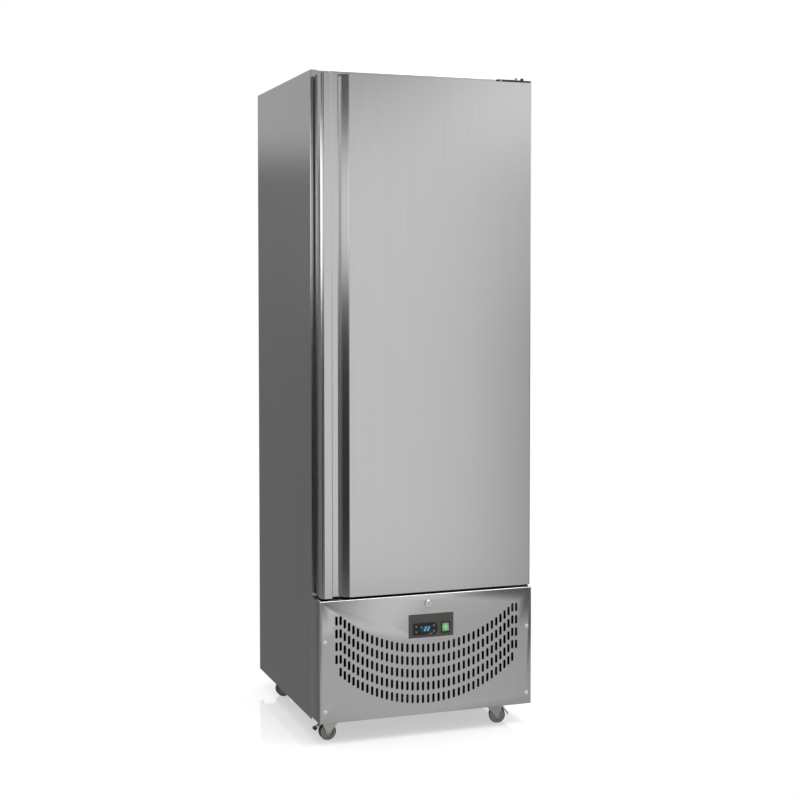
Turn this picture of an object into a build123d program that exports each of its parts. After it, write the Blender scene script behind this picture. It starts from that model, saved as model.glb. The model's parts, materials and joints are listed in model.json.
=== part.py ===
from build123d import *
import os
from math import asin, cos, degrees, radians, sin, sqrt

os.makedirs("parts", exist_ok=True)

# An upright single-door commercial freezer with its cooling unit in the base.
# Millimetres. The front faces -Y, +X is on the right seen from the front, +Z is up.
# The origin lies on the floor, under the middle of the whole freezer.

# Overall sizes
cabinet_width = 680.0
cabinet_height = 1990.0
overall_depth = 724.0
lock_stand_out = 4.0
front_box_depth = 85.0
side_bottom_z = 56.0
lower_panel_bottom_z = 64.0
lower_panel_height = 363.5

# Sheet metal
skin = 1.0
bend = 1.5
panel_sheet = 1.2
panel_bend = 2.5
tray_sheet = 1.5
liner_sheet = 0.8
front_flange = 20.0
rear_flange = 15.0
seam = 0.5
fit_gap = 0.3
run_gap = 0.05

# Insulated box
side_wall = 60.0
back_wall = 60.0
floor_wall = 67.0
roof_wall = 70.0
corner_cove = 12.0

# Door
door_gap = 5.5
door_top_drop = 18.0
door_left_inset = 11.0
door_thickness = 60.0
door_set_back = 12.0
door_front_bend = 3.0
door_rear_flange = 12.0
inner_panel_sheet = 1.6
inner_pan_rise = 6.0
inner_pan_inset = 22.0
inner_pan_round = 16.0

# Folded handle on the left edge of the door
handle_width = 33.0
handle_corner = 8.0
handle_lip = 12.0
handle_undercut = 8.0
groove_depth = 23.0
groove_floor_end = 58.0
groove_top_end = 84.0
groove_bend = 4.0
lip_bend = 2.0

# Gasket
gasket_width = 16.0
gasket_head = 10.0
gasket_base = 4.5
gasket_side_inset = 17.0
gasket_end_inset = 12.0
gasket_corner = 8.0

# Hinges
hinge_inset_x = 20.0
hinge_inset_y = 28.0
hinge_pin_d = 10.0
hinge_pin_length = 22.0
hinge_leaf = 4.0
hinge_leaf_width = 88.0
hinge_leaf_reach = 67.0
hinge_over_door = 2.5
hinge_leaf_round = 6.0
hinge_stand_out = 3.0
hinge_nut_taper_deg = 6.0
hinge_row_left_inset = 22.0
hinge_row_right_inset = 43.0
leg_screw_inset = 12.0
leg_screw_lower = 0.5
lower_leaf = 3.2
lower_leaf_lift = 1.0
lower_leg = 40.0
lower_leaf_shorter = 18.0
lower_screw_inset = 10.0
bush_wall = 3.0
bush_flange = 0.9
bush_floor = 2.0
hinge_nut_d = 12.0
hinge_nut_height = 9.5
hinge_screw_d = 8.0
hinge_screw_height = 3.0

# Air slots in the lower front panel
slot_width = 8.0
slot_length = 27.0
slot_side_margin = 60.0
slot_arc_radius = 419.0
slot_step_deg = 2.29
slot_row_pitch = 38.3
slot_end_column_pitch = 12.8
slot_top_row_drop = 163.3
slot_end_flat = 2.4
slot_bottom_margin = 30.0

# Lower front panel
panel_screw_inset = 16.0
low_panel_screw_rise = 34.7
high_panel_screw_drop = 121.5
panel_cap_d = 13.0
panel_cap_height = 3.0
panel_cap_taper_deg = 30.0
panel_screw_d = 5.0
panel_screw_length = 16.0
panel_lip = 12.0
upright_width = 40.0
upright_over_screw = 24.0

# Lock
lock_drop = 28.2
lock_collar_d = 23.0
lock_collar_chamfer = 1.6
lock_barrel_d = 19.0
lock_barrel_length = 20.0
lock_nut_d = 26.0
lock_nut = 4.0
lock_core_d = 14.0
lock_face_recess = 0.6
key_slot_width = 1.8
key_slot_length = 8.0
key_slot_depth = 3.0
cam_length = 46.0
cam_width = 12.0
cam_thickness = 2.5
cam_depth = 22.0
cam_room = 2.5

# Control plate, controller and switch
plate_width = 144.0
plate_height = 71.0
plate_thickness = 0.8
plate_x = 9.0
plate_drop = 94.5
plate_round = 1.0
controller_width = 77.0
controller_height = 35.0
controller_body_width = 70.6
controller_body_height = 28.6
controller_bezel = 2.2
controller_length = 58.0
controller_x = -9.5
controller_drop = 103.5
controller_round = 14.0
controller_left_round = 1.5
window_width = 34.0
window_height = 20.0
window_thickness = 1.2
window_rim = 0.5
button_width = 8.0
button_height = 7.5
button_travel = 0.8
button_depth = 3.4
left_button_offset = 30.5
right_button_offset = 26.5
button_offset_z = 8.0
button_round = 1.2
button_chamfer = 0.4
switch_width = 28.0
switch_height = 33.0
switch_bezel = 2.0
switch_body_width = 25.6
switch_body_height = 31.0
switch_length = 24.0
switch_x = 55.5
switch_drop = 103.0
switch_round = 1.5
rocker_width = 22.4
rocker_height = 26.0
rocker_depth = 5.0
rocker_pivot_depth = 5.5
rocker_swing_deg = 14.0
rocker_pin_d = 3.0
rocker_pin_reach = 1.0
rocker_hollow = 1.2

# Base tray and underside
tray_bottom_z = 68.0
tray_flange = 25.0
tray_corner = 3.0
front_rail_drop = 50.0
front_rail_rise = 20.0
vent_width = 8.0
vent_length = 90.0
vent_pitch = 34.0
vent_count = 14
vent_rise = 172.0

# Casters
wheel_d = 50.0
wheel_width = 20.0
wheel_hub_d = 16.0
wheel_hub_stand = 0.5
wheel_rim_d = 36.0
wheel_web = 11.0
wheel_shoulder = 2.4
axle_d = 6.0
caster_lead = 24.0
fork_sheet = 2.0
fork_head_d = 34.0
fork_head_margin = 2.0
fork_shoulder = 4.0
fork_side_gap = 0.8
axle_boss_d = 12.0
brake_boss_d = 8.0
fork_top_z = 62.5
kingpin_d = 8.0
kingpin_head_d = 14.0
kingpin_head = 2.6
caster_plate_x = 60.0
caster_plate_y = 50.0
caster_plate_thickness = 2.5
caster_plate_round = 5.0
brake_pin_d = 4.0
brake_pin_lead = 14.0
brake_pin_z = 54.0
pedal_wall = 2.0
pedal_reach = 27.0
pedal_angle_deg = 36.0
pedal_press_deg = 18.0
left_caster_inset = 64.0
right_caster_inset = 114.5
front_caster_inset = 62.0
rear_caster_inset = 159.0
front_right_trail_deg = -20.0

# Cooling unit in the base
compressor_x = -90.0
compressor_rear_inset = 202.0
compressor_d = 170.0
compressor_bottom = 18.5
compressor_height = 180.0
foot_sheet = 3.0
foot_margin = 15.0
foot_round = 10.0
shell_belly_z = 26.0
shell_waist_z = 92.0
shell_lid_z = 140.0
shell_base_inset = 28.0
shell_seam_step = 4.0
shell_top_inset = 34.0
shell_dome = 8.0
terminal_width = 56.0
terminal_depth = 44.0
terminal_height = 70.0
terminal_rise = 30.0
terminal_round = 6.0
stub_wall = 1.5
stub_reach = 8.0
stub_length = 20.0
suction_stub_rise = 90.0
discharge_stub_rise = 125.0
grommet_d = 24.0
grommet_x = 90.0
grommet_y = 60.0
grommet_nipple = 8.0
condenser_width = 300.0
condenser_height = 240.0
condenser_thick = 46.0
condenser_front_inset = 136.0
condenser_lift = 20.0
fin_pitch = 12.0
fin_thickness = 1.5
fin_stand = 8.0
end_plate = 2.0
end_plate_rise = 5.0
shroud_depth = 30.0
ring_depth = 14.0
strap_sheet = 2.0
strap_width = 24.0
strap_foot = 14.0
strap_gap = 14.0
strap_stand = 50.0
condenser_fan_d = 150.0
condenser_hub_d = 48.0
condenser_fan_depth = 18.0
condenser_fan_set_back = 16.0
fan_pitch_deg = 28.0
fan_blade_count = 5
fan_blade_sheet = 1.5
fan_tip_gap = 5.0
condenser_motor_d = 64.0
condenser_motor_length = 44.0
motor_boss = 6.0
motor_boss_step = 10.0
motor_boss_length = 2.0
condenser_shaft_d = 6.0
condenser_shaft_hold = 10.0
fan_bore_depth = 12.0
drip_tray_x = 175.0
drip_tray_rear_inset = 172.0
drip_tray_width = 160.0
drip_tray_depth = 140.0
drip_tray_height = 45.0
drip_tray_wall = 2.0
drip_tray_round = 10.0
pipe_d = 9.5
capillary_d = 6.0
pipe_sides = 8
pipe_bend = 14.0
capillary_bend = 12.0
line_stand_off = 40.0
line_rise = 20.0
discharge_drop = 10.0
drier_d = 22.0
drier_length = 90.0
drier_behind = 60.0
riser_inset = 30.0
riser_spacing = 15.0
channel_width = 34.0
channel_depth = 16.0
channel_drop = 31.0
suction_under_channel = 6.0
capillary_over_suction = 12.0
gland_inset = 100.0
gland_rise = 52.0
gland_bore_d = 9.0
gland_d = 16.0
gland_nut_d = 24.0
gland_nut = 5.0
gland_flange_d = 22.0
gland_length = 22.0

# Evaporator under the ceiling of the store
evap_cover_side_gap = 40.0
evap_cover_height = 141.0
evap_fan_room = 130.0
evap_cover_rear_gap = 16.0
evap_cover_sheet = 1.2
evap_cover_round = 6.0
guard_outer_ring = 0.68
guard_outer_gap = 0.62
guard_inner_ring = 0.34
guard_bar = 3.0
guard_bar_reach = 2.0
intake_pitch = 44.0
intake_width = 12.0
intake_length = 112.0
evap_coil_side_gap = 40.0
evap_coil_depth = 160.0
evap_coil_height = 100.0
evap_coil_rear_inset = 152.0
evap_fin_pitch = 16.8
evap_port = 6.0
evap_port_length = 16.0
evap_coil_drop = 20.0
evap_fan_d = 112.0
evap_hub_d = 36.0
evap_fan_depth = 14.0
evap_fan_rise = 8.0
evap_fan_set_back = 8.0
evap_motor_d = 56.0
evap_motor_length = 40.0
evap_motor_set_back = 32.0
evap_shaft_d = 5.0
evap_shaft_length = 16.0
evap_bore_depth = 10.0
motor_arm = 6.0
motor_arm_sheet = 4.0
motor_arm_set_back = 14.0
motor_arm_beyond = 6.0
motor_arm_end = 4.0

# Shelves
shelf_count = 4
shelf_end_gap = 180.0
shelf_rod_d = 7.0
shelf_wire_d = 4.0
shelf_wires = 13
shelf_weld = 0.4
shelf_wire_margin = 12.0
shelf_side_gap = 2.0
shelf_front_gap = 48.0
shelf_rear_gap = 37.0
rail_width = 20.0
rail_depth = 8.0
rail_sheet = 1.5
rail_front_inset = 103.0
rail_rear_inset = 92.0
rail_floor_gap = 40.0
rail_ceiling_gap = 300.0
clip_hole_width = 8.0
clip_reach = 16.0
clip_height = 14.0
clip_hook = 2.0
clip_ledge = 3.0

# Planes that everything is placed from
half_width = cabinet_width / 2
panel_y = -overall_depth / 2 + lock_stand_out
back_y = overall_depth / 2
face_y = panel_y + front_box_depth
panel_top_z = lower_panel_bottom_z + lower_panel_height
box_bottom_z = panel_top_z + door_gap
store_half = half_width - side_wall
store_back_y = back_y - back_wall
store_floor_z = box_bottom_z + floor_wall
store_top_z = cabinet_height - roof_wall
door_front_y = panel_y + door_set_back
door_back_y = door_front_y + door_thickness
door_left_x = -half_width + door_left_inset
door_right_x = half_width
door_top_z = cabinet_height - door_top_drop
hinge_x = half_width - hinge_inset_x
hinge_y = door_front_y + hinge_inset_y
tray_top_z = tray_bottom_z + tray_sheet
panel_screw_x = half_width - panel_screw_inset
panel_screw_zs = (lower_panel_bottom_z + low_panel_screw_rise, panel_top_z - high_panel_screw_drop)
gland_x = half_width - gland_inset
gland_z = tray_bottom_z + gland_rise
cover_half = store_half - evap_cover_side_gap
evap_coil_half = cover_half - evap_coil_side_gap
evap_coil_y = store_back_y - evap_coil_rear_inset
evap_cover_front_y = evap_coil_y - evap_coil_depth / 2 - evap_fan_room
riser_x = evap_coil_half - riser_inset


def front_plane(y):
    """Upright plane at depth y seen from the front, with its x to the right and its y up."""
    return Plane(origin=(0, y, 0), x_dir=(1, 0, 0), z_dir=(0, -1, 0))


def side_plane(x):
    """Upright plane across the freezer at x, with its x towards the back and its y up."""
    return Plane(origin=(x, 0, 0), x_dir=(0, 1, 0), z_dir=(1, 0, 0))


def span(low, high, mode=Mode.ADD):
    """A rectangle between two corners, in the sketch that is open."""
    with Locations(((low[0] + high[0]) / 2, (low[1] + high[1]) / 2)):
        Rectangle(high[0] - low[0], high[1] - low[1], mode=mode)


# Left side panel: one folded sheet with a front flange and a rear flange
rail_bottom_z = tray_bottom_z + tray_flange
with BuildPart() as side_panel_left:
    with BuildSketch(Plane.XY.offset(side_bottom_z)):
        with BuildLine():
            FilletPolyline(
                (-half_width + front_flange, face_y),
                (-half_width, face_y),
                (-half_width, back_y),
                (-half_width + rear_flange, back_y),
                radius=bend,
            )
            offset(amount=skin, side=Side.RIGHT)
        make_face()
    extrude(amount=cabinet_height - side_bottom_z)
    # The front flange is cut away where the base tray passes through to the front
    with BuildSketch(Plane.XY.offset(side_bottom_z)):
        span((-half_width + skin, face_y - skin), (-half_width + front_flange + skin, face_y + 2 * skin))
    extrude(amount=rail_bottom_z + skin - side_bottom_z, mode=Mode.SUBTRACT)
side_panel_left.part.label = "side_panel_left"
export_step(side_panel_left.part, "parts/side_panel_left.step")

# Right side panel: the left one mirrored
with BuildPart() as side_panel_right:
    mirror(side_panel_left.part, about=Plane.YZ)
side_panel_right.part.label = "side_panel_right"
export_step(side_panel_right.part, "parts/side_panel_right.step")

# Roof panel: folded down at the front and back, wider between its flanges
roof_flange_half = half_width - front_flange
notch_width = 5.0
notch_depth = 6.0
with BuildPart() as roof_panel:
    with BuildSketch(side_plane(-roof_flange_half)):
        with BuildLine():
            FilletPolyline(
                (face_y, cabinet_height - front_flange),
                (face_y, cabinet_height),
                (back_y, cabinet_height),
                (back_y, cabinet_height - rear_flange),
                radius=bend,
            )
            offset(amount=skin, side=Side.RIGHT)
        make_face()
    extrude(amount=2 * roof_flange_half)
    with BuildSketch(Plane.XY.offset(cabinet_height - skin)):
        span((-half_width + skin, face_y + 2 * skin), (half_width - skin, back_y - 2 * skin))
    extrude(amount=skin)
    # Notch for the hinge of a left-hung door
    with BuildSketch(front_plane(face_y)):
        with Locations((-store_half, cabinet_height - notch_depth / 2)):
            Rectangle(notch_width, notch_depth)
    extrude(amount=-notch_depth, mode=Mode.SUBTRACT)
roof_panel.part.label = "roof_panel"
export_step(roof_panel.part, "parts/roof_panel.step")

# Back panel with a row of air vents behind the cooling unit
with BuildPart() as back_panel:
    with BuildSketch(front_plane(back_y - skin)):
        span(
            (-half_width + skin + seam, tray_bottom_z),
            (half_width - skin - seam, cabinet_height - skin - seam),
        )
        with Locations((0, tray_bottom_z + vent_rise)):
            with GridLocations(vent_pitch, 1, vent_count, 1):
                Rectangle(vent_width, vent_length, mode=Mode.SUBTRACT)
        with Locations((gland_x, gland_z)):
            Circle(gland_d / 2 + run_gap, mode=Mode.SUBTRACT)
    extrude(amount=skin)
back_panel.part.label = "back_panel"
export_step(back_panel.part, "parts/back_panel.step")

# Underside of the insulated box, folded into a rail across the front
channel_half = channel_width / 2
channel_y = back_y - back_wall / 2 - skin
with BuildPart() as underside_panel:
    with BuildSketch(Plane.XY.offset(box_bottom_z)) as underside:
        span((-half_width + skin, face_y + skin), (half_width - skin, back_y - 2 * skin))
        chamfer(underside.vertices().group_by(Axis.Y)[0], bend - skin)
        with Locations((riser_x + riser_spacing / 2, channel_y)):
            Rectangle(2 * channel_half, channel_depth, mode=Mode.SUBTRACT)
    extrude(amount=skin)
    with BuildSketch(front_plane(face_y + skin)):
        span(
            (-roof_flange_half, box_bottom_z - front_rail_drop),
            (roof_flange_half, box_bottom_z + front_rail_rise),
        )
    extrude(amount=skin)
underside_panel.part.label = "underside_panel"
export_step(underside_panel.part, "parts/underside_panel.step")

# Foam insulation between the outer skins and the liner
foam_front_y = face_y + skin
foam_bottom_z = box_bottom_z + skin
foam_top_z = cabinet_height - skin
channel_top_z = store_top_z - channel_drop
with BuildPart() as cabinet_insulation:
    with BuildSketch(Plane.XY.offset(foam_bottom_z)) as foam_outline:
        span((-half_width + skin, foam_front_y), (half_width - skin, back_y - 2 * skin))
        chamfer(foam_outline.vertices().group_by(Axis.Y)[0], bend - skin)
    extrude(amount=foam_top_z - foam_bottom_z)
    top_edges = cabinet_insulation.edges().group_by(Axis.Z)[-1]
    chamfer(top_edges.filter_by(Axis.X).sort_by(Axis.Y)[0], bend - skin)
    with BuildSketch(Plane.XY.offset(store_floor_z)) as store_hollow:
        span((-store_half, foam_front_y - skin), (store_half, store_back_y))
        fillet(store_hollow.vertices().group_by(Axis.Y)[-1], corner_cove)
    extrude(amount=store_top_z - store_floor_z, mode=Mode.SUBTRACT)
    with BuildSketch(Plane.XY.offset(foam_bottom_z)):
        with Locations((riser_x + riser_spacing / 2, channel_y)):
            Rectangle(2 * channel_half, channel_depth)
    extrude(amount=channel_top_z - foam_bottom_z, mode=Mode.SUBTRACT)
    with BuildSketch(Plane.XY.offset(channel_top_z - 2 * channel_half)):
        with Locations((riser_x + riser_spacing / 2, (store_back_y + channel_y) / 2)):
            Rectangle(2 * channel_half, channel_y - store_back_y)
    extrude(amount=2 * channel_half, mode=Mode.SUBTRACT)
cabinet_insulation.part.label = "cabinet_insulation"
export_step(cabinet_insulation.part, "parts/cabinet_insulation.step")

# Inner liner: a deep drawn tub, open to the front
suction_z = channel_top_z - channel_half - suction_under_channel
capillary_z = suction_z + capillary_over_suction
with BuildPart() as inner_liner:
    with BuildSketch(Plane.XY.offset(store_floor_z)) as liner_outside:
        span((-store_half, foam_front_y), (store_half, store_back_y))
        fillet(liner_outside.vertices().group_by(Axis.Y)[-1], corner_cove)
    extrude(amount=store_top_z - store_floor_z)
    with BuildSketch(Plane.XY.offset(store_floor_z + liner_sheet)) as liner_inside:
        span(
            (-store_half + liner_sheet, foam_front_y),
            (store_half - liner_sheet, store_back_y - liner_sheet),
        )
        fillet(liner_inside.vertices().group_by(Axis.Y)[-1], corner_cove - liner_sheet)
    extrude(amount=store_top_z - store_floor_z - 2 * liner_sheet, mode=Mode.SUBTRACT)
    with BuildSketch(front_plane(store_back_y)):
        with Locations((riser_x, suction_z)):
            Circle(pipe_d / 2 + fit_gap)
        with Locations((riser_x + riser_spacing, capillary_z)):
            Circle(capillary_d / 2 + fit_gap)
    extrude(amount=2 * liner_sheet, mode=Mode.SUBTRACT)
inner_liner.part.label = "inner_liner"
export_step(inner_liner.part, "parts/inner_liner.step")

# Breaker frame around the mouth of the store, which the gasket closes on
with BuildPart() as front_breaker_frame:
    with BuildSketch(front_plane(foam_front_y)):
        span(
            (-roof_flange_half, box_bottom_z + front_rail_rise),
            (roof_flange_half, cabinet_height - front_flange),
        )
        span(
            (-store_half + liner_sheet, store_floor_z + liner_sheet),
            (store_half - liner_sheet, store_top_z - liner_sheet),
            mode=Mode.SUBTRACT,
        )
    extrude(amount=skin)
front_breaker_frame.part.label = "front_breaker_frame"
export_step(front_breaker_frame.part, "parts/front_breaker_frame.step")

# Base tray that carries the cooling unit, with uprights for the lower front panel
tray_front_y = panel_y + panel_sheet
tray_rear_y = back_y - 2 * skin
tray_half = half_width - panel_sheet - fit_gap
with BuildPart() as base_tray:
    with BuildSketch(Plane.XY.offset(tray_bottom_z)) as tray_outside:
        span((-tray_half, tray_front_y), (tray_half, tray_rear_y))
        fillet(tray_outside.vertices(), tray_corner)
    extrude(amount=tray_flange)
    with BuildSketch(Plane.XY.offset(tray_top_z)) as tray_inside:
        span(
            (-tray_half + tray_sheet, tray_front_y + tray_sheet),
            (tray_half - tray_sheet, tray_rear_y - tray_sheet),
        )
        fillet(tray_inside.vertices(), tray_corner - tray_sheet)
    extrude(amount=tray_flange, mode=Mode.SUBTRACT)
    with BuildSketch(front_plane(tray_front_y + tray_sheet)) as uprights:
        for side in (-1, 1):
            edges = sorted((side * (tray_half - tray_corner), side * (tray_half - upright_width)))
            span((edges[0], tray_top_z), (edges[1], panel_screw_zs[1] + upright_over_screw))
        fillet(uprights.vertices().group_by(Axis.Z)[-1], 2 * tray_corner)
        for side in (-1, 1):
            for screw_z in panel_screw_zs:
                with Locations((side * panel_screw_x, screw_z)):
                    Circle(panel_screw_d / 2 + fit_gap, mode=Mode.SUBTRACT)
    extrude(amount=tray_sheet)
    # Screw holes that go through the front flange as well
    with BuildSketch(front_plane(tray_front_y + tray_sheet)):
        for side in (-1, 1):
            for screw_z in panel_screw_zs:
                with Locations((side * panel_screw_x, screw_z)):
                    Circle(panel_screw_d / 2 + fit_gap)
    extrude(amount=tray_sheet, mode=Mode.SUBTRACT)
base_tray.part.label = "base_tray"
export_step(base_tray.part, "parts/base_tray.step")


slots_room = lower_panel_height - slot_top_row_drop - slot_length / 2 - slot_bottom_margin
slot_rows = 1 + int(slots_room / slot_row_pitch)
slot_arc_end_deg = degrees(asin((half_width - slot_side_margin) / slot_arc_radius))
slot_columns_each_side = int(slot_arc_end_deg / slot_step_deg)


def slot_places():
    """Centres of the air slots: columns stepped along an arc, rows straight down."""
    places = []
    last = slot_columns_each_side + 1
    for column in range(-last, last + 1):
        on_arc = max(-slot_columns_each_side, min(slot_columns_each_side, column))
        angle = radians(on_arc * slot_step_deg)
        extra = (column - on_arc) * slot_end_column_pitch
        x = slot_arc_radius * sin(angle) + extra
        top = panel_top_z - slot_top_row_drop + slot_arc_radius * (1 - cos(angle))
        rows = slot_rows if column == on_arc else slot_rows - 1
        for row in range(rows):
            places.append((x, top - row * slot_row_pitch))
    return places


# Lower front panel: a shallow box of sheet with returns to the sides and the top
plate_z = panel_top_z - plate_drop
lock_z = panel_top_z - lock_drop
controller_z = panel_top_z - controller_drop
switch_z = panel_top_z - switch_drop
controller_hole_width = controller_body_width + 2 * fit_gap
controller_hole_height = controller_body_height + 2 * fit_gap
switch_hole_width = switch_body_width + 2 * fit_gap
switch_hole_height = switch_body_height + 2 * fit_gap
side_return_y = face_y - seam
cam_front_y = panel_y + cam_depth
top_return_y = face_y - hinge_leaf - 2 * fit_gap - seam
with BuildPart() as front_grille_panel:
    with BuildSketch(Plane.XY.offset(lower_panel_bottom_z)):
        with BuildLine():
            FilletPolyline(
                (-half_width, side_return_y),
                (-half_width, panel_y),
                (half_width, panel_y),
                (half_width, side_return_y),
                radius=panel_bend,
            )
            offset(amount=panel_sheet, side=Side.LEFT)
        make_face()
    extrude(amount=lower_panel_height)
    # Top return with the slot that the lock's cam swings up through
    with BuildSketch(Plane.XY.offset(panel_top_z)):
        span(
            (-half_width + panel_sheet / 2, panel_y + panel_sheet / 2),
            (half_width - panel_sheet / 2, top_return_y),
        )
        span(
            (-cam_width / 2 - cam_room, cam_front_y - cam_room),
            (cam_length + cam_room, cam_front_y + cam_thickness + cam_room),
            mode=Mode.SUBTRACT,
        )
    extrude(amount=-panel_sheet)
    # Bottom lip
    with BuildSketch(Plane.XY.offset(lower_panel_bottom_z)):
        span(
            (-half_width + panel_sheet / 2, panel_y + panel_sheet / 2),
            (half_width - panel_sheet / 2, panel_y + panel_lip),
        )
    extrude(amount=panel_sheet)
    # Air slots, each a rounded bar with its ends in three flats
    with BuildSketch(front_plane(panel_y + panel_sheet)) as slots:
        with Locations(*slot_places()):
            Rectangle(slot_width, slot_length)
        chamfer(slots.vertices(), slot_end_flat)
    extrude(amount=panel_sheet, mode=Mode.SUBTRACT)
    with BuildSketch(front_plane(panel_y + panel_sheet)):
        with Locations((0, lock_z)):
            Circle(lock_barrel_d / 2 + fit_gap)
        with Locations((controller_x, controller_z)):
            Rectangle(controller_hole_width, controller_hole_height)
        with Locations((switch_x, switch_z)):
            Rectangle(switch_hole_width, switch_hole_height)
        for side in (-1, 1):
            for screw_z in panel_screw_zs:
                with Locations((side * panel_screw_x, screw_z)):
                    Circle(panel_screw_d / 2 + fit_gap)
    extrude(amount=panel_sheet, mode=Mode.SUBTRACT)
front_grille_panel.part.label = "front_grille_panel"
export_step(front_grille_panel.part, "parts/front_grille_panel.step")

# Four screws with round caps that hold the lower front panel
with BuildPart() as panel_screws:
    with BuildSketch(front_plane(panel_y)):
        for side in (-1, 1):
            for screw_z in panel_screw_zs:
                with Locations((side * panel_screw_x, screw_z)):
                    Circle(panel_cap_d / 2)
    extrude(amount=panel_cap_height, taper=panel_cap_taper_deg)
    with BuildSketch(front_plane(panel_y)):
        for side in (-1, 1):
            for screw_z in panel_screw_zs:
                with Locations((side * panel_screw_x, screw_z)):
                    Circle(panel_screw_d / 2)
    extrude(amount=-panel_screw_length)
panel_screws.part.label = "panel_screws"
export_step(panel_screws.part, "parts/panel_screws.step")

# Grey control plate
plate_front_y = panel_y - plate_thickness
with BuildPart() as control_plate:
    with BuildSketch(front_plane(panel_y)):
        with Locations((plate_x, plate_z)):
            RectangleRounded(plate_width, plate_height, plate_round)
        with Locations((controller_x, controller_z)):
            Rectangle(controller_hole_width, controller_hole_height, mode=Mode.SUBTRACT)
        with Locations((switch_x, switch_z)):
            Rectangle(switch_hole_width, switch_hole_height, mode=Mode.SUBTRACT)
    extrude(amount=plate_thickness)
control_plate.part.label = "control_plate"
export_step(control_plate.part, "parts/control_plate.step")

# Controller housing: bezel, body, pockets for four buttons and a seat for the window
bezel_y = plate_front_y - controller_bezel
button_places = {
    "button_up": (controller_x - left_button_offset, controller_z + button_offset_z),
    "button_down": (controller_x - left_button_offset, controller_z - button_offset_z),
    "button_set": (controller_x + right_button_offset, controller_z + button_offset_z),
    "button_defrost": (controller_x + right_button_offset, controller_z - button_offset_z),
}
with BuildPart() as controller_housing:
    with BuildSketch(front_plane(plate_front_y)) as bezel_outline:
        with Locations((controller_x, controller_z)):
            Rectangle(controller_width, controller_height)
        fillet(bezel_outline.vertices().group_by(Axis.X)[-1], controller_round)
        fillet(bezel_outline.vertices().group_by(Axis.X)[0], controller_left_round)
    extrude(amount=controller_bezel)
    with BuildSketch(front_plane(plate_front_y)):
        with Locations((controller_x, controller_z)):
            Rectangle(controller_body_width, controller_body_height)
    extrude(amount=-controller_length)
    with BuildSketch(front_plane(bezel_y)):
        with Locations(*button_places.values()):
            Rectangle(button_width + 2 * fit_gap, button_height + 2 * fit_gap)
    extrude(amount=-button_depth - fit_gap, mode=Mode.SUBTRACT)
    with BuildSketch(front_plane(bezel_y)):
        with Locations((controller_x, controller_z)):
            Rectangle(window_width, window_height)
    extrude(amount=-window_thickness, mode=Mode.SUBTRACT)
controller_housing.part.label = "controller_housing"
export_step(controller_housing.part, "parts/controller_housing.step")

# Window over the digits
with BuildPart() as display_window:
    with BuildSketch(front_plane(bezel_y)):
        with Locations((controller_x, controller_z)):
            Rectangle(window_width, window_height)
    extrude(amount=-window_thickness)
    with BuildSketch(front_plane(bezel_y)):
        with Locations((controller_x, controller_z)):
            Rectangle(window_width - 2 * window_rim, window_height - 2 * window_rim)
    extrude(amount=fit_gap)
display_window.part.label = "display_window"
export_step(display_window.part, "parts/display_window.step")

# Controller buttons: each slides back into its pocket
button_back_y = bezel_y + button_depth - button_travel
for button_name, place in button_places.items():
    with BuildPart() as button:
        with BuildSketch(front_plane(button_back_y)):
            with Locations(place):
                RectangleRounded(button_width, button_height, button_round)
        extrude(amount=button_depth)
        chamfer(button.edges().group_by(Axis.Y)[0], button_chamfer)
    button.part.label = button_name
    export_step(button.part, f"parts/{button_name}.step")

# Switch frame: bezel and body around the pocket that the rocker swings in
switch_front_y = plate_front_y - switch_bezel
rocker_pivot_y = switch_front_y + rocker_pivot_depth
rocker_reach = sqrt((rocker_height / 2) ** 2 + rocker_depth ** 2)
pocket_half_height = rocker_reach + fit_gap
with BuildPart() as switch_frame:
    with BuildSketch(front_plane(plate_front_y)):
        with Locations((switch_x, switch_z)):
            RectangleRounded(switch_width, switch_height, switch_round)
    extrude(amount=switch_bezel)
    with BuildSketch(front_plane(plate_front_y)):
        with Locations((switch_x, switch_z)):
            Rectangle(switch_body_width, switch_body_height)
    extrude(amount=-switch_length)
    with BuildSketch(front_plane(switch_front_y)):
        with Locations((switch_x, switch_z)):
            Rectangle(rocker_width + 2 * fit_gap, 2 * pocket_half_height)
    extrude(amount=-rocker_pivot_depth - rocker_reach - fit_gap, mode=Mode.SUBTRACT)
    with BuildSketch(side_plane(switch_x)):
        with Locations((rocker_pivot_y, switch_z)):
            Circle(rocker_pin_d / 2 + run_gap)
    extrude(amount=rocker_width / 2 + rocker_pin_reach + fit_gap, both=True, mode=Mode.SUBTRACT)
switch_frame.part.label = "switch_frame"
export_step(switch_frame.part, "parts/switch_frame.step")

# Rocker, at rest with its upper half pressed in
rocker_tilt = rocker_swing_deg / 2
with BuildPart() as switch_rocker:
    rocker_plane = Plane(
        origin=(switch_x, rocker_pivot_y, switch_z),
        x_dir=(0, cos(radians(rocker_tilt)), -sin(radians(rocker_tilt))),
        z_dir=(1, 0, 0),
    )
    with BuildSketch(rocker_plane):
        with BuildLine():
            Polyline(
                (rocker_depth / 2, -rocker_height / 4),
                (-rocker_depth, -rocker_height / 2),
                (-rocker_depth + rocker_hollow, 0),
                (-rocker_depth, rocker_height / 2),
                (rocker_depth / 2, rocker_height / 4),
                close=True,
            )
        make_face()
    extrude(amount=rocker_width / 2, both=True)
    with BuildSketch(side_plane(switch_x)):
        with Locations((rocker_pivot_y, switch_z)):
            Circle(rocker_pin_d / 2)
    extrude(amount=rocker_width / 2 + rocker_pin_reach, both=True)
switch_rocker.part.label = "switch_rocker"
export_step(switch_rocker.part, "parts/switch_rocker.step")

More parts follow.
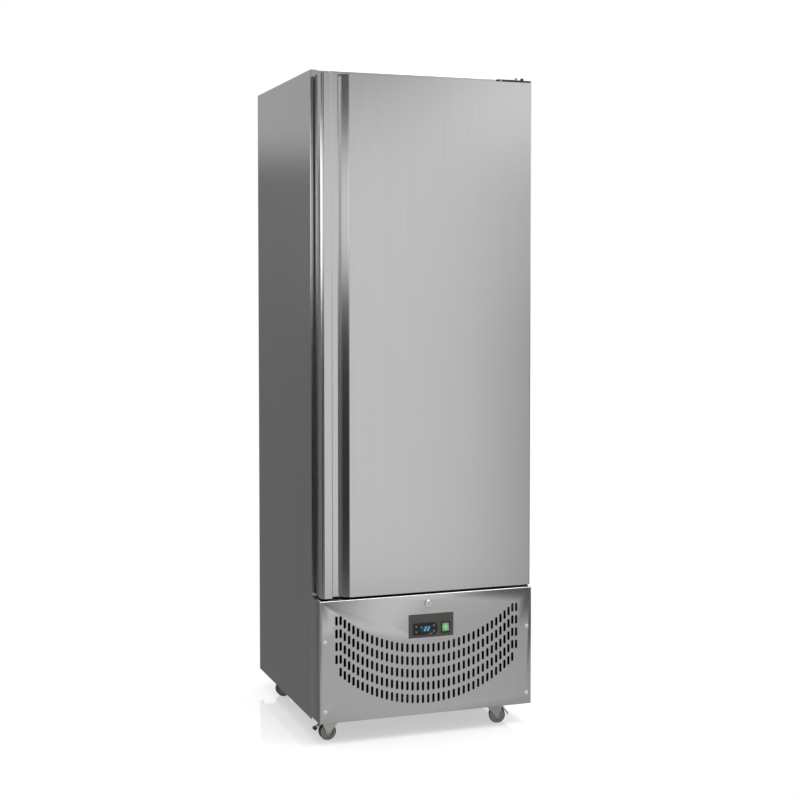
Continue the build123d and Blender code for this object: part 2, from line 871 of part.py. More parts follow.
# Lock housing: domed collar outside, threaded barrel and nut behind the panel
collar_y = panel_y - lock_stand_out
with BuildPart() as lock_housing:
    with BuildSketch(front_plane(panel_y)):
        with Locations((0, lock_z)):
            Circle(lock_collar_d / 2)
    extrude(amount=lock_stand_out)
    chamfer(lock_housing.edges().group_by(Axis.Y)[0], lock_collar_chamfer)
    with BuildSketch(front_plane(panel_y)):
        with Locations((0, lock_z)):
            Circle(lock_barrel_d / 2)
    extrude(amount=-lock_barrel_length)
    with BuildSketch(front_plane(panel_y + panel_sheet)):
        with Locations((0, lock_z)):
            RegularPolygon(lock_nut_d / 2, 6)
    extrude(amount=-lock_nut)
    with BuildSketch(front_plane(collar_y)):
        with Locations((0, lock_z)):
            Circle(lock_core_d / 2 + run_gap)
    extrude(amount=-lock_stand_out - lock_barrel_length, mode=Mode.SUBTRACT)
lock_housing.part.label = "lock_housing"
export_step(lock_housing.part, "parts/lock_housing.step")

# Lock cylinder with key slot, tail and cam; at rest the cam lies flat to the right, unlocked
core_face_y = collar_y + lock_face_recess
with BuildPart() as lock_cylinder:
    with BuildSketch(front_plane(core_face_y)):
        with Locations((0, lock_z)):
            Circle(lock_core_d / 2)
    extrude(amount=-(cam_front_y - core_face_y))
    with BuildSketch(front_plane(core_face_y)):
        with Locations((0, lock_z)):
            SlotOverall(key_slot_length, key_slot_width, rotation=90)
    extrude(amount=-key_slot_depth, mode=Mode.SUBTRACT)
    with BuildSketch(front_plane(cam_front_y)) as cam_outline:
        with Locations((0, lock_z)):
            Circle(lock_core_d / 2)
        span((0, lock_z - cam_width / 2), (cam_length, lock_z + cam_width / 2))
        fillet(cam_outline.vertices().group_by(Axis.X)[-1], cam_width / 4)
    extrude(amount=-cam_thickness)
lock_cylinder.part.label = "lock_cylinder"
export_step(lock_cylinder.part, "parts/lock_cylinder.step")


def door_outline():
    """The door seen from above, with the folded handle and the finger groove on its left."""
    lip_x = door_left_x + handle_width
    under_x = lip_x - handle_undercut
    lip_y = door_front_y + handle_lip
    floor_y = door_front_y + groove_depth
    corners = (
        (door_right_x, door_back_y, 0),
        (door_right_x, door_front_y, door_front_bend),
        (door_left_x + groove_top_end, door_front_y, groove_bend),
        (door_left_x + groove_floor_end, floor_y, groove_bend),
        (under_x, floor_y, lip_bend),
        (under_x, lip_y, lip_bend),
        (lip_x, lip_y, lip_bend),
        (lip_x, door_front_y, lip_bend),
        (door_left_x, door_front_y, handle_corner),
        (door_left_x, door_back_y, 0),
    )
    with BuildSketch(Plane.XY) as outline:
        with BuildLine():
            Polyline(*[(x, y) for x, y, bend_radius in corners], close=True)
        make_face()
        for x, y, bend_radius in corners:
            if bend_radius:
                fillet(outline.vertices().sort_by_distance(Vector(x, y, 0))[0], bend_radius)
    return outline.sketch


# Door skin: folded sheet with the handle formed in it, closed at the top and the bottom
door_shape = door_outline()
door_bottom_z = box_bottom_z
bush_d = hinge_pin_d + 2 * bush_wall
cam_pocket_left = -cam_width / 2 - cam_room
cam_pocket_right = cam_length
cam_pocket_top_z = lock_z + sqrt(cam_length ** 2 + (cam_width / 2) ** 2) + cam_room
with BuildPart() as door_skin:
    with BuildSketch(Plane.XY.offset(door_bottom_z)):
        add(door_shape)
    extrude(amount=door_top_z - door_bottom_z)
    with BuildSketch(Plane.XY.offset(door_bottom_z + skin)):
        add(door_shape)
        offset(amount=-skin, kind=Kind.INTERSECTION, mode=Mode.REPLACE)
    extrude(amount=door_top_z - door_bottom_z - 2 * skin, mode=Mode.SUBTRACT)
    # The back is open between the two rear flanges
    with BuildSketch(Plane.XY.offset(door_bottom_z + skin)):
        span(
            (door_left_x + door_rear_flange, door_back_y - 2 * skin),
            (door_right_x - door_rear_flange, door_back_y + skin),
        )
    extrude(amount=door_top_z - door_bottom_z - 2 * skin, mode=Mode.SUBTRACT)
    # Holes for the two hinge bushes, and the slot for the lock's cam
    with BuildSketch(Plane.XY.offset(door_bottom_z)):
        with Locations((hinge_x, hinge_y)):
            Circle(bush_d / 2 + run_gap)
    extrude(amount=door_top_z - door_bottom_z, mode=Mode.SUBTRACT)
    with BuildSketch(Plane.XY.offset(door_bottom_z)):
        span(
            (cam_pocket_left, cam_front_y - cam_room),
            (cam_pocket_right, cam_front_y + cam_thickness + cam_room),
        )
    extrude(amount=skin, mode=Mode.SUBTRACT)
door_skin.part.label = "door_skin"
export_step(door_skin.part, "parts/door_skin.step")

# Foam inside the door
bush_length = hinge_pin_length + bush_floor
with BuildPart() as door_insulation:
    with BuildSketch(Plane.XY.offset(door_bottom_z + skin)):
        add(door_shape)
        offset(amount=-skin, kind=Kind.INTERSECTION, mode=Mode.REPLACE)
    extrude(amount=door_top_z - door_bottom_z - 2 * skin)
    with BuildSketch(Plane.XY.offset(door_bottom_z + skin)):
        span(
            (door_left_x + door_rear_flange, door_back_y - 2 * skin),
            (door_right_x - door_rear_flange, door_back_y),
        )
    extrude(amount=door_top_z - door_bottom_z - 2 * skin)
    for start_z in (door_bottom_z, door_top_z - bush_length - fit_gap):
        with BuildSketch(Plane.XY.offset(start_z)):
            with Locations((hinge_x, hinge_y)):
                Circle(bush_d / 2 + run_gap)
        extrude(amount=bush_length + fit_gap, mode=Mode.SUBTRACT)
    with BuildSketch(Plane.XY.offset(door_bottom_z)):
        span(
            (cam_pocket_left, cam_front_y - cam_room),
            (cam_pocket_right, cam_front_y + cam_thickness + cam_room),
        )
    extrude(amount=cam_pocket_top_z - door_bottom_z, mode=Mode.SUBTRACT)
door_insulation.part.label = "door_insulation"
export_step(door_insulation.part, "parts/door_insulation.step")

# Inner door panel: a plate with a shallow pan pressed towards the store
gasket_left = -half_width + gasket_side_inset
gasket_right = half_width - gasket_side_inset
gasket_bottom = door_bottom_z + gasket_end_inset
gasket_top = door_top_z - gasket_end_inset
inner_panel_y = door_back_y + inner_panel_sheet
with BuildPart() as door_inner_panel:
    with BuildSketch(front_plane(inner_panel_y)):
        span(
            (door_left_x + skin, door_bottom_z + skin),
            (door_right_x - skin, door_top_z - skin),
        )
    extrude(amount=inner_panel_sheet)
    with BuildSketch(front_plane(inner_panel_y)) as pan:
        span(
            (gasket_left + inner_pan_inset, gasket_bottom + inner_pan_inset),
            (gasket_right - inner_pan_inset, gasket_top - inner_pan_inset),
        )
        fillet(pan.vertices(), inner_pan_round)
    extrude(amount=-inner_pan_rise, taper=45)
    # The pan is hollow on its foam side
    with BuildSketch(front_plane(door_back_y)) as pan_hollow:
        span(
            (gasket_left + inner_pan_inset, gasket_bottom + inner_pan_inset),
            (gasket_right - inner_pan_inset, gasket_top - inner_pan_inset),
        )
        fillet(pan_hollow.vertices(), inner_pan_round)
    extrude(amount=-inner_pan_rise, taper=45, mode=Mode.SUBTRACT)
door_inner_panel.part.label = "door_inner_panel"
export_step(door_inner_panel.part, "parts/door_inner_panel.step")

# Magnetic gasket: a wide base on the inner panel and a narrower head towards the cabinet
gasket_face_y = face_y - fit_gap
head_inset = (gasket_width - gasket_head) / 2
with BuildPart() as door_gasket:
    for inset, start_y, end_y in (
        (0, inner_panel_y, inner_panel_y + gasket_base),
        (head_inset, inner_panel_y + gasket_base, gasket_face_y),
    ):
        with BuildSketch(front_plane(end_y)) as ring:
            span((gasket_left + inset, gasket_bottom + inset), (gasket_right - inset, gasket_top - inset))
            fillet(ring.vertices(), gasket_corner - inset)
            span(
                (gasket_left + gasket_width - inset, gasket_bottom + gasket_width - inset),
                (gasket_right - gasket_width + inset, gasket_top - gasket_width + inset),
                mode=Mode.SUBTRACT,
            )
        extrude(amount=end_y - start_y)
door_gasket.part.label = "door_gasket"
export_step(door_gasket.part, "parts/door_gasket.step")

# Hinge bushes in the top and the bottom of the door
with BuildPart() as hinge_bushes:
    for end_z, inwards in ((door_bottom_z, 1), (door_top_z, -1)):
        with BuildSketch(Plane.XY.offset(end_z)):
            with Locations((hinge_x, hinge_y)):
                Circle(bush_d / 2)
                Circle(hinge_pin_d / 2 + run_gap, mode=Mode.SUBTRACT)
        extrude(amount=inwards * bush_length)
        with BuildSketch(Plane.XY.offset(end_z)):
            with Locations((hinge_x, hinge_y)):
                Circle(bush_d / 2 + bush_wall)
                Circle(hinge_pin_d / 2 + run_gap, mode=Mode.SUBTRACT)
        extrude(amount=-inwards * bush_flange)
hinge_bushes.part.label = "hinge_bushes"
export_step(hinge_bushes.part, "parts/hinge_bushes.step")

# Top hinge bracket: an angle on the cabinet's front with a pin down into the door
leaf_right_x = half_width + hinge_stand_out
leaf_left_x = leaf_right_x - hinge_leaf_width
leaf_bottom_z = door_top_z + hinge_over_door
leaf_top_z = leaf_bottom_z + hinge_leaf
hinge_row_x = (leaf_left_x + hinge_row_left_inset, leaf_right_x - hinge_row_right_inset)
leg_screw_x = leaf_left_x + leg_screw_inset
leg_screw_z = (leaf_top_z + cabinet_height) / 2 - leg_screw_lower
with BuildPart() as top_hinge_bracket:
    with BuildSketch(Plane.XY.offset(leaf_bottom_z)) as leaf:
        span((leaf_left_x, face_y - hinge_leaf_reach), (leaf_right_x, face_y))
        fillet(leaf.vertices().group_by(Axis.Y)[0], hinge_leaf_round)
        with Locations(*[(x, hinge_y) for x in hinge_row_x]):
            Circle(hinge_screw_d / 4 + run_gap, mode=Mode.SUBTRACT)
    extrude(amount=hinge_leaf)
    with BuildSketch(front_plane(face_y)):
        span((leaf_left_x, leaf_bottom_z), (half_width - front_flange, cabinet_height - skin))
        with Locations((leg_screw_x, leg_screw_z)):
            Circle(hinge_screw_d / 4 + run_gap, mode=Mode.SUBTRACT)
    extrude(amount=hinge_leaf)
    with BuildSketch(Plane.XY.offset(leaf_bottom_z)):
        with Locations((hinge_x, hinge_y)):
            Circle(hinge_pin_d / 2)
    extrude(amount=-hinge_pin_length)
    with BuildSketch(Plane.XY.offset(leaf_top_z)):
        with Locations((hinge_x, hinge_y)):
            RegularPolygon(hinge_nut_d / 2, 6)
    extrude(amount=hinge_nut_height, taper=hinge_nut_taper_deg)
top_hinge_bracket.part.label = "top_hinge_bracket"
export_step(top_hinge_bracket.part, "parts/top_hinge_bracket.step")

# Bottom hinge bracket: an angle on the front rail with a pin up into the door
lower_leaf_z = panel_top_z + lower_leaf_lift
lower_leaf_top_z = lower_leaf_z + lower_leaf
lower_right_x = half_width - panel_sheet - seam
lower_left_x = lower_right_x - hinge_leaf_width + lower_leaf_shorter
lower_leg_right_x = half_width - front_flange
lower_screw_z = lower_leaf_z - lower_leg / 2
lower_screw_x = (lower_left_x + lower_screw_inset, lower_leg_right_x - lower_screw_inset)
with BuildPart() as bottom_hinge_bracket:
    with BuildSketch(Plane.XY.offset(lower_leaf_z)) as lower_outline:
        span((lower_left_x, face_y - hinge_leaf_reach), (lower_right_x, face_y))
        fillet(lower_outline.vertices().group_by(Axis.Y)[0], hinge_leaf_round)
    extrude(amount=lower_leaf)
    with BuildSketch(front_plane(face_y)):
        span((lower_left_x, lower_leaf_z - lower_leg), (lower_leg_right_x, lower_leaf_top_z))
        with Locations(*[(x, lower_screw_z) for x in lower_screw_x]):
            Circle(hinge_screw_d / 4 + run_gap, mode=Mode.SUBTRACT)
    extrude(amount=hinge_leaf)
    with BuildSketch(Plane.XY.offset(lower_leaf_top_z)):
        with Locations((hinge_x, hinge_y)):
            Circle(hinge_pin_d / 2)
    extrude(amount=hinge_pin_length)
bottom_hinge_bracket.part.label = "bottom_hinge_bracket"
export_step(bottom_hinge_bracket.part, "parts/bottom_hinge_bracket.step")

# Screws of both hinge brackets
with BuildPart() as hinge_screws:
    for x, head_height in zip(hinge_row_x, (hinge_screw_height, hinge_nut_height)):
        with BuildSketch(Plane.XY.offset(leaf_top_z)):
            with Locations((x, hinge_y)):
                Circle(hinge_screw_d / 2)
        extrude(amount=head_height)
        with BuildSketch(Plane.XY.offset(leaf_top_z)):
            with Locations((x, hinge_y)):
                Circle(hinge_screw_d / 4)
        extrude(amount=-hinge_leaf)
    front_screws = [(leg_screw_x, leg_screw_z)] + [(x, lower_screw_z) for x in lower_screw_x]
    with BuildSketch(front_plane(face_y - hinge_leaf)):
        with Locations(*front_screws):
            Circle(hinge_screw_d / 2)
    extrude(amount=hinge_screw_height)
    with BuildSketch(front_plane(face_y - hinge_leaf)):
        with Locations(*front_screws):
            Circle(hinge_screw_d / 4)
    extrude(amount=-hinge_leaf)
hinge_screws.part.label = "hinge_screws"
export_step(hinge_screws.part, "parts/hinge_screws.step")


def wheel_plane(x, y, trail_deg):
    """Upright plane of a caster's wheel: its x trails behind the kingpin and its y is up."""
    trail = radians(trail_deg)
    return Plane(origin=(x, y, 0), x_dir=(cos(trail), sin(trail), 0), z_dir=(sin(trail), -cos(trail), 0))


# Casters: name, place of the kingpin, direction in which the wheel trails, pedal or none
left_caster_x = -half_width + left_caster_inset
right_caster_x = half_width - right_caster_inset
front_caster_y = panel_y + front_caster_inset
rear_caster_y = back_y - rear_caster_inset
casters = (
    ("front_left", left_caster_x, front_caster_y, 180.0, "raised"),
    ("front_right", right_caster_x, front_caster_y, front_right_trail_deg, "pressed"),
    ("rear_left", left_caster_x, rear_caster_y, 180.0, None),
    ("rear_right", right_caster_x, rear_caster_y, 0.0, None),
)

# Mounting plates of the casters, each with its kingpin
plate_z_low = tray_bottom_z - caster_plate_thickness
fork_inside_z = fork_top_z - fork_sheet
head_top_z = fork_inside_z - fit_gap
with BuildPart() as caster_plates:
    places = [(x, y) for name, x, y, trail_deg, pedal in casters]
    with BuildSketch(Plane.XY.offset(plate_z_low)):
        with Locations(*places):
            RectangleRounded(caster_plate_x, caster_plate_y, caster_plate_round)
    extrude(amount=caster_plate_thickness)
    with BuildSketch(Plane.XY.offset(head_top_z)):
        with Locations(*places):
            Circle(kingpin_d / 2)
    extrude(amount=plate_z_low - head_top_z)
    with BuildSketch(Plane.XY.offset(head_top_z)):
        with Locations(*places):
            Circle(kingpin_head_d / 2)
    extrude(amount=-kingpin_head)
caster_plates.part.label = "caster_plates"
export_step(caster_plates.part, "parts/caster_plates.step")

axle_z = wheel_d / 2
fork_inside_half = wheel_width / 2 + fork_side_gap
fork_head_flat = fork_head_d - 2 * fork_head_margin
hub_half = wheel_width / 2 + wheel_hub_stand
for caster_name, x, y, trail_deg, pedal in casters:
    plane = wheel_plane(x, y, trail_deg)
    # Fork: two cheeks, a top and a ball race, with the axle riveted through
    with BuildPart() as fork:
        for side in (-1, 1):
            with BuildSketch(plane.offset(side * (fork_inside_half + fork_sheet / 2))) as cheek:
                with Locations((caster_lead, axle_z)):
                    Circle(axle_boss_d / 2)
                with Locations((0, fork_top_z - fork_shoulder / 2)):
                    Rectangle(fork_head_flat, fork_shoulder)
                if pedal:
                    with Locations((caster_lead + brake_pin_lead, brake_pin_z)):
                        Circle(brake_boss_d / 2)
                make_hull(cheek.edges())
            extrude(amount=fork_sheet / 2, both=True)
        with BuildSketch(Plane.XY.offset(fork_top_z)) as fork_top:
            with Locations(Location((x, y), trail_deg)):
                Rectangle(fork_head_flat, 2 * fork_inside_half + 2 * fork_sheet)
        extrude(amount=-fork_sheet)
        with BuildSketch(Plane.XY.offset(fork_top_z)):
            with Locations((x, y)):
                Circle(fork_head_d / 2)
        extrude(amount=plate_z_low - fit_gap - fork_top_z)
        with BuildSketch(Plane.XY.offset(fork_inside_z)):
            with Locations((x, y)):
                Circle(kingpin_d / 2 + run_gap)
        extrude(amount=plate_z_low - fork_inside_z, mode=Mode.SUBTRACT)
        with BuildSketch(plane):
            with Locations((caster_lead, axle_z)):
                Circle(axle_d / 2)
        extrude(amount=fork_inside_half + 2 * fork_sheet, both=True)
        if pedal:
            with BuildSketch(plane):
                with Locations((caster_lead + brake_pin_lead, brake_pin_z)):
                    Circle(brake_pin_d / 2)
            extrude(amount=fork_inside_half + fork_sheet / 2, both=True)
    fork.part.label = f"caster_fork_{caster_name}"
    export_step(fork.part, f"parts/caster_fork_{caster_name}.step")

    # Wheel turned about its axle: hub, recessed web and a tread with chamfered shoulders
    axle_centre = plane.from_local_coords(Vector(caster_lead, axle_z, 0))
    profile_plane = Plane(origin=axle_centre, x_dir=(0, 0, 1), z_dir=plane.x_dir)
    with BuildPart() as wheel:
        with BuildSketch(profile_plane) as half_wheel:
            span((axle_d / 2 + run_gap, -hub_half), (wheel_hub_d / 2, hub_half))
            span((wheel_hub_d / 2, -wheel_web / 2), (wheel_rim_d / 2, wheel_web / 2))
            span((wheel_rim_d / 2, -wheel_width / 2), (wheel_d / 2, wheel_width / 2))
            chamfer(half_wheel.vertices().sort_by_distance(axle_centre)[-2:], wheel_shoulder)
        revolve(axis=Axis(axle_centre, plane.z_dir))
    wheel.part.label = f"caster_wheel_{caster_name}"
    export_step(wheel.part, f"parts/caster_wheel_{caster_name}.step")

    # Brake pedal: a tread plate on a barrel, between the cheeks of the fork
    if pedal:
        pedal_length = pedal_reach / cos(radians(pedal_angle_deg))
        drop_deg = pedal_angle_deg + (pedal_press_deg if pedal == "pressed" else 0)
        drop = radians(drop_deg)
        barrel = (caster_lead + brake_pin_lead, brake_pin_z)
        middle = (barrel[0] + pedal_length / 2 * cos(drop), barrel[1] - pedal_length / 2 * sin(drop))
        tip = (barrel[0] + pedal_length * cos(drop), barrel[1] - pedal_length * sin(drop))
        with BuildPart() as brake_pedal:
            with BuildSketch(plane):
                with Locations(barrel):
                    Circle(brake_pin_d / 2 + pedal_wall)
                with Locations(Location(middle, -drop_deg)):
                    Rectangle(pedal_length, pedal_wall)
                with Locations(tip):
                    Circle(pedal_wall)
            extrude(amount=fork_inside_half - fit_gap, both=True)
            with BuildSketch(plane):
                with Locations(barrel):
                    Circle(brake_pin_d / 2 + run_gap)
            extrude(amount=fork_inside_half, both=True, mode=Mode.SUBTRACT)
        brake_pedal.part.label = f"brake_pedal_{caster_name}"
        export_step(brake_pedal.part, f"parts/brake_pedal_{caster_name}.step")

# Compressor: welded shell on a foot plate, with its terminal cover and two pipe stubs
compressor_y = back_y - compressor_rear_inset
foot_z = tray_top_z + compressor_bottom
shell_z = foot_z + foot_sheet
shell_r = compressor_d / 2
lid_r = shell_r - shell_seam_step
suction_stub_y = compressor_y + shell_r + stub_reach
discharge_stub_x = compressor_x + shell_r + stub_reach
suction_stub_z = shell_z + suction_stub_rise
discharge_stub_z = shell_z + discharge_stub_rise
with BuildPart() as compressor:
    with BuildSketch(Plane.XY.offset(foot_z)):
        with Locations((compressor_x, compressor_y)):
            RectangleRounded(2 * grommet_x + 2 * foot_margin, 2 * grommet_y + 2 * foot_margin, foot_round)
            with GridLocations(2 * grommet_x, 2 * grommet_y, 2, 2):
                Circle(grommet_d / 4 + run_gap, mode=Mode.SUBTRACT)
    extrude(amount=foot_sheet)
    shell_plane = Plane(origin=(compressor_x, compressor_y, shell_z), x_dir=(1, 0, 0), z_dir=(0, -1, 0))
    with BuildSketch(shell_plane):
        with BuildLine():
            Polyline(
                (0, 0),
                (shell_r - shell_base_inset, 0),
                (shell_r, shell_belly_z),
                (shell_r, shell_waist_z),
                (lid_r, shell_waist_z + shell_seam_step),
                (lid_r, shell_lid_z),
                (shell_r - shell_top_inset, compressor_height - shell_dome),
                (0, compressor_height),
                close=True,
            )
        make_face()
    revolve(axis=Axis((compressor_x, compressor_y, 0), (0, 0, 1)))
    with BuildSketch(Plane.XY.offset(shell_z + terminal_rise)):
        with Locations((compressor_x - shell_r, compressor_y)):
            RectangleRounded(terminal_depth, terminal_width, terminal_round)
    extrude(amount=terminal_height)
    with BuildSketch(front_plane(suction_stub_y)):
        with Locations((compressor_x, suction_stub_z)):
            Circle(pipe_d / 2 + stub_wall)
    extrude(amount=stub_length)
    with BuildSketch(side_plane(discharge_stub_x)):
        with Locations((compressor_y, discharge_stub_z)):
            Circle(pipe_d / 2 + stub_wall)
    extrude(amount=-stub_length)
compressor.part.label = "compressor"
export_step(compressor.part, "parts/compressor.step")

# Rubber mounts under the foot plate
with BuildPart() as compressor_mounts:
    with BuildSketch(Plane.XY.offset(tray_top_z)):
        with Locations((compressor_x, compressor_y)):
            with GridLocations(2 * grommet_x, 2 * grommet_y, 2, 2):
                Circle(grommet_d / 2)
    extrude(amount=compressor_bottom)
    with BuildSketch(Plane.XY.offset(foot_z)):
        with Locations((compressor_x, compressor_y)):
            with GridLocations(2 * grommet_x, 2 * grommet_y, 2, 2):
                Circle(grommet_d / 4)
    extrude(amount=grommet_nipple)
compressor_mounts.part.label = "compressor_mounts"
export_step(compressor_mounts.part, "parts/compressor_mounts.step")

# Condenser: finned block between two end plates that stand on the tray
condenser_y = panel_y + condenser_front_inset
condenser_front_y = condenser_y - condenser_thick / 2
condenser_back_y = condenser_y + condenser_thick / 2
condenser_low_z = tray_top_z + condenser_lift
condenser_high_z = condenser_low_z + condenser_height
end_plate_top_z = condenser_high_z + end_plate_rise
coil_end_x = condenser_width / 2 + end_plate
fin_count = int(condenser_width / fin_pitch) - 1
with BuildPart() as condenser_coil:
    with BuildSketch(Plane.XY.offset(condenser_low_z)):
        with Locations((0, condenser_y)):
            Rectangle(condenser_width, condenser_thick - 2 * fin_stand)
            with GridLocations(fin_pitch, 1, fin_count, 1):
                Rectangle(fin_thickness, condenser_thick)
    extrude(amount=condenser_height)
    for side in (-1, 1):
        with BuildSketch(side_plane(side * condenser_width / 2)):
            span((condenser_front_y, tray_top_z), (condenser_back_y, end_plate_top_z))
        extrude(amount=side * end_plate)
condenser_coil.part.label = "condenser_coil"
export_step(condenser_coil.part, "parts/condenser_coil.step")

# Fan shroud behind the condenser, with the ring that the fan turns in and a strap for its motor
fan_z = (condenser_low_z + condenser_high_z) / 2
shroud_back_y = condenser_back_y + shroud_depth
ring_r = condenser_fan_d / 2 + fan_tip_gap
strap_y = shroud_back_y + strap_stand
strap_half = ring_r + strap_gap
with BuildPart() as condenser_fan_shroud:
    with BuildSketch(front_plane(shroud_back_y)):
        span((-coil_end_x, condenser_low_z), (coil_end_x, end_plate_top_z))
    extrude(amount=shroud_depth)
    with BuildSketch(front_plane(shroud_back_y - skin)):
        span((-coil_end_x + skin, condenser_low_z + skin), (coil_end_x - skin, end_plate_top_z - skin))
    extrude(amount=shroud_depth, mode=Mode.SUBTRACT)
    with BuildSketch(front_plane(shroud_back_y)):
        with Locations((0, fan_z)):
            Circle(ring_r + skin)
    extrude(amount=ring_depth)
    with BuildSketch(front_plane(shroud_back_y)):
        with Locations((0, fan_z)):
            Circle(ring_r)
    extrude(amount=ring_depth, mode=Mode.SUBTRACT)
    with BuildSketch(Plane.XY.offset(fan_z)):
        with BuildLine():
            Polyline(
                (-strap_half - strap_foot, shroud_back_y),
                (-strap_half, shroud_back_y),
                (-strap_half, strap_y),
                (strap_half, strap_y),
                (strap_half, shroud_back_y),
                (strap_half + strap_foot, shroud_back_y),
            )
            offset(amount=strap_sheet, side=Side.LEFT)
        make_face()
    extrude(amount=strap_width / 2, both=True)
condenser_fan_shroud.part.label = "condenser_fan_shroud"
export_step(condenser_fan_shroud.part, "parts/condenser_fan_shroud.step")


def fan_blades(centre, hub_r, tip_r, front_y, depth):
    """Hub and pitched blades of an axial fan on a shaft along Y, in the part that is open."""
    with BuildSketch(front_plane(front_y + depth)) as hub:
        with Locations(centre):
            Circle(hub_r)
    extrude(hub.sketch, amount=depth)
    pitch = radians(fan_pitch_deg)
    for turn in range(fan_blade_count):
        angle = 360.0 * turn / fan_blade_count
        out = (cos(radians(angle)), 0, sin(radians(angle)))
        across = (-sin(radians(angle)), 0, cos(radians(angle)))
        chord = (across[0] * cos(pitch), sin(pitch), across[2] * cos(pitch))
        normal = Vector(*out).cross(Vector(*chord))
        blade_plane = Plane(origin=(centre[0], front_y + depth / 2, centre[1]), x_dir=out, z_dir=normal)
        with BuildSketch(blade_plane) as blade:
            with BuildLine():
                Polyline(
                    (hub_r * 0.7, -hub_r * 0.35),
                    (tip_r * 0.92, -hub_r * 0.85),
                    (tip_r * 0.97, hub_r * 0.2),
                    (tip_r * 0.86, hub_r * 0.8),
                    (hub_r * 0.7, hub_r * 0.45),
                    close=True,
                )
            make_face()
        extrude(blade.sketch, amount=fan_blade_sheet / 2, both=True)


# Condenser fan blade, running in the ring
condenser_hub_y = shroud_back_y - condenser_fan_set_back
with BuildPart() as condenser_fan_blade:
    fan_blades((0, fan_z), condenser_hub_d / 2, condenser_fan_d / 2, condenser_hub_y, condenser_fan_depth)
    with BuildSketch(front_plane(condenser_hub_y + condenser_fan_depth)):
        with Locations((0, fan_z)):
            Circle(condenser_shaft_d / 2 + run_gap)
    extrude(amount=fan_bore_depth, mode=Mode.SUBTRACT)
condenser_fan_blade.part.label = "condenser_fan_blade"
export_step(condenser_fan_blade.part, "parts/condenser_fan_blade.step")

# Condenser fan motor, screwed to the strap with its shaft in the blade's hub
motor_shoulder_y = strap_y - condenser_motor_length + motor_boss
with BuildPart() as condenser_fan_motor:
    with BuildSketch(front_plane(strap_y)):
        with Locations((0, fan_z)):
            Circle(condenser_motor_d / 2)
    extrude(amount=condenser_motor_length - motor_boss)
    with BuildSketch(front_plane(motor_shoulder_y)):
        with Locations((0, fan_z)):
            Circle(condenser_motor_d / 2 - motor_boss_step)
    extrude(amount=motor_boss_length)
    with BuildSketch(front_plane(motor_shoulder_y)):
        with Locations((0, fan_z)):
            Circle(condenser_shaft_d / 2)
    extrude(amount=motor_shoulder_y - (condenser_hub_y + condenser_fan_depth - condenser_shaft_hold))
condenser_fan_motor.part.label = "condenser_fan_motor"
export_step(condenser_fan_motor.part, "parts/condenser_fan_motor.step")

# Drip tray for the defrost water
drip_tray_y = back_y - drip_tray_rear_inset
with BuildPart() as drip_tray:
    with BuildSketch(Plane.XY.offset(tray_top_z)):
        with Locations((drip_tray_x, drip_tray_y)):
            RectangleRounded(drip_tray_width, drip_tray_depth, drip_tray_round)
    extrude(amount=drip_tray_height)
    with BuildSketch(Plane.XY.offset(tray_top_z + drip_tray_wall)):
        with Locations((drip_tray_x, drip_tray_y)):
            RectangleRounded(
                drip_tray_width - 2 * drip_tray_wall,
                drip_tray_depth - 2 * drip_tray_wall,
                drip_tray_round - drip_tray_wall,
            )
    extrude(amount=drip_tray_height, mode=Mode.SUBTRACT)
drip_tray.part.label = "drip_tray"
export_step(drip_tray.part, "parts/drip_tray.step")


def pipe(points, radius, diameter):
    """A bent tube along straight runs and tangent bends, in the part that is open."""
    with BuildLine() as route:
        FilletPolyline(*points, radius=radius)
    with BuildSketch(Plane(origin=route.line @ 0, z_dir=route.line % 0)) as section:
        RegularPolygon(diameter / 2, pipe_sides)
    sweep(section.sketch, path=route.wire())


# Refrigerant pipes: discharge line, suction line, and liquid line with its filter drier
line_x = coil_end_x + line_stand_off
line_z = condenser_low_z + line_rise
discharge_z = condenser_high_z - discharge_drop
riser_y = channel_y
evap_port_y = evap_coil_y + evap_coil_depth / 2 + evap_port
with BuildPart() as refrigerant_pipes:
    pipe(
        (
            (discharge_stub_x, compressor_y, discharge_stub_z),
            (line_x, compressor_y, discharge_stub_z),
            (line_x, condenser_y, discharge_stub_z),
            (line_x, condenser_y, discharge_z),
            (coil_end_x, condenser_y, discharge_z),
        ),
        pipe_bend,
        pipe_d,
    )
    pipe(
        (
            (compressor_x, suction_stub_y, suction_stub_z),
            (compressor_x, riser_y, suction_stub_z),
            (riser_x, riser_y, suction_stub_z),
            (riser_x, riser_y, suction_z),
            (riser_x, evap_port_y, suction_z),
        ),
        pipe_bend,
        pipe_d,
    )
    pipe(
        (
            (-coil_end_x, condenser_y, line_z),
            (-line_x, condenser_y, line_z),
            (-line_x, riser_y, line_z),
            (riser_x + riser_spacing, riser_y, line_z),
            (riser_x + riser_spacing, riser_y, capillary_z),
            (riser_x + riser_spacing, evap_port_y, capillary_z),
        ),
        capillary_bend,
        capillary_d,
    )
    with BuildSketch(front_plane(condenser_y + drier_behind + drier_length)):
        with Locations((-line_x, line_z)):
            Circle(drier_d / 2)
    extrude(amount=drier_length)
refrigerant_pipes.part.label = "refrigerant_pipes"
export_step(refrigerant_pipes.part, "parts/refrigerant_pipes.step")

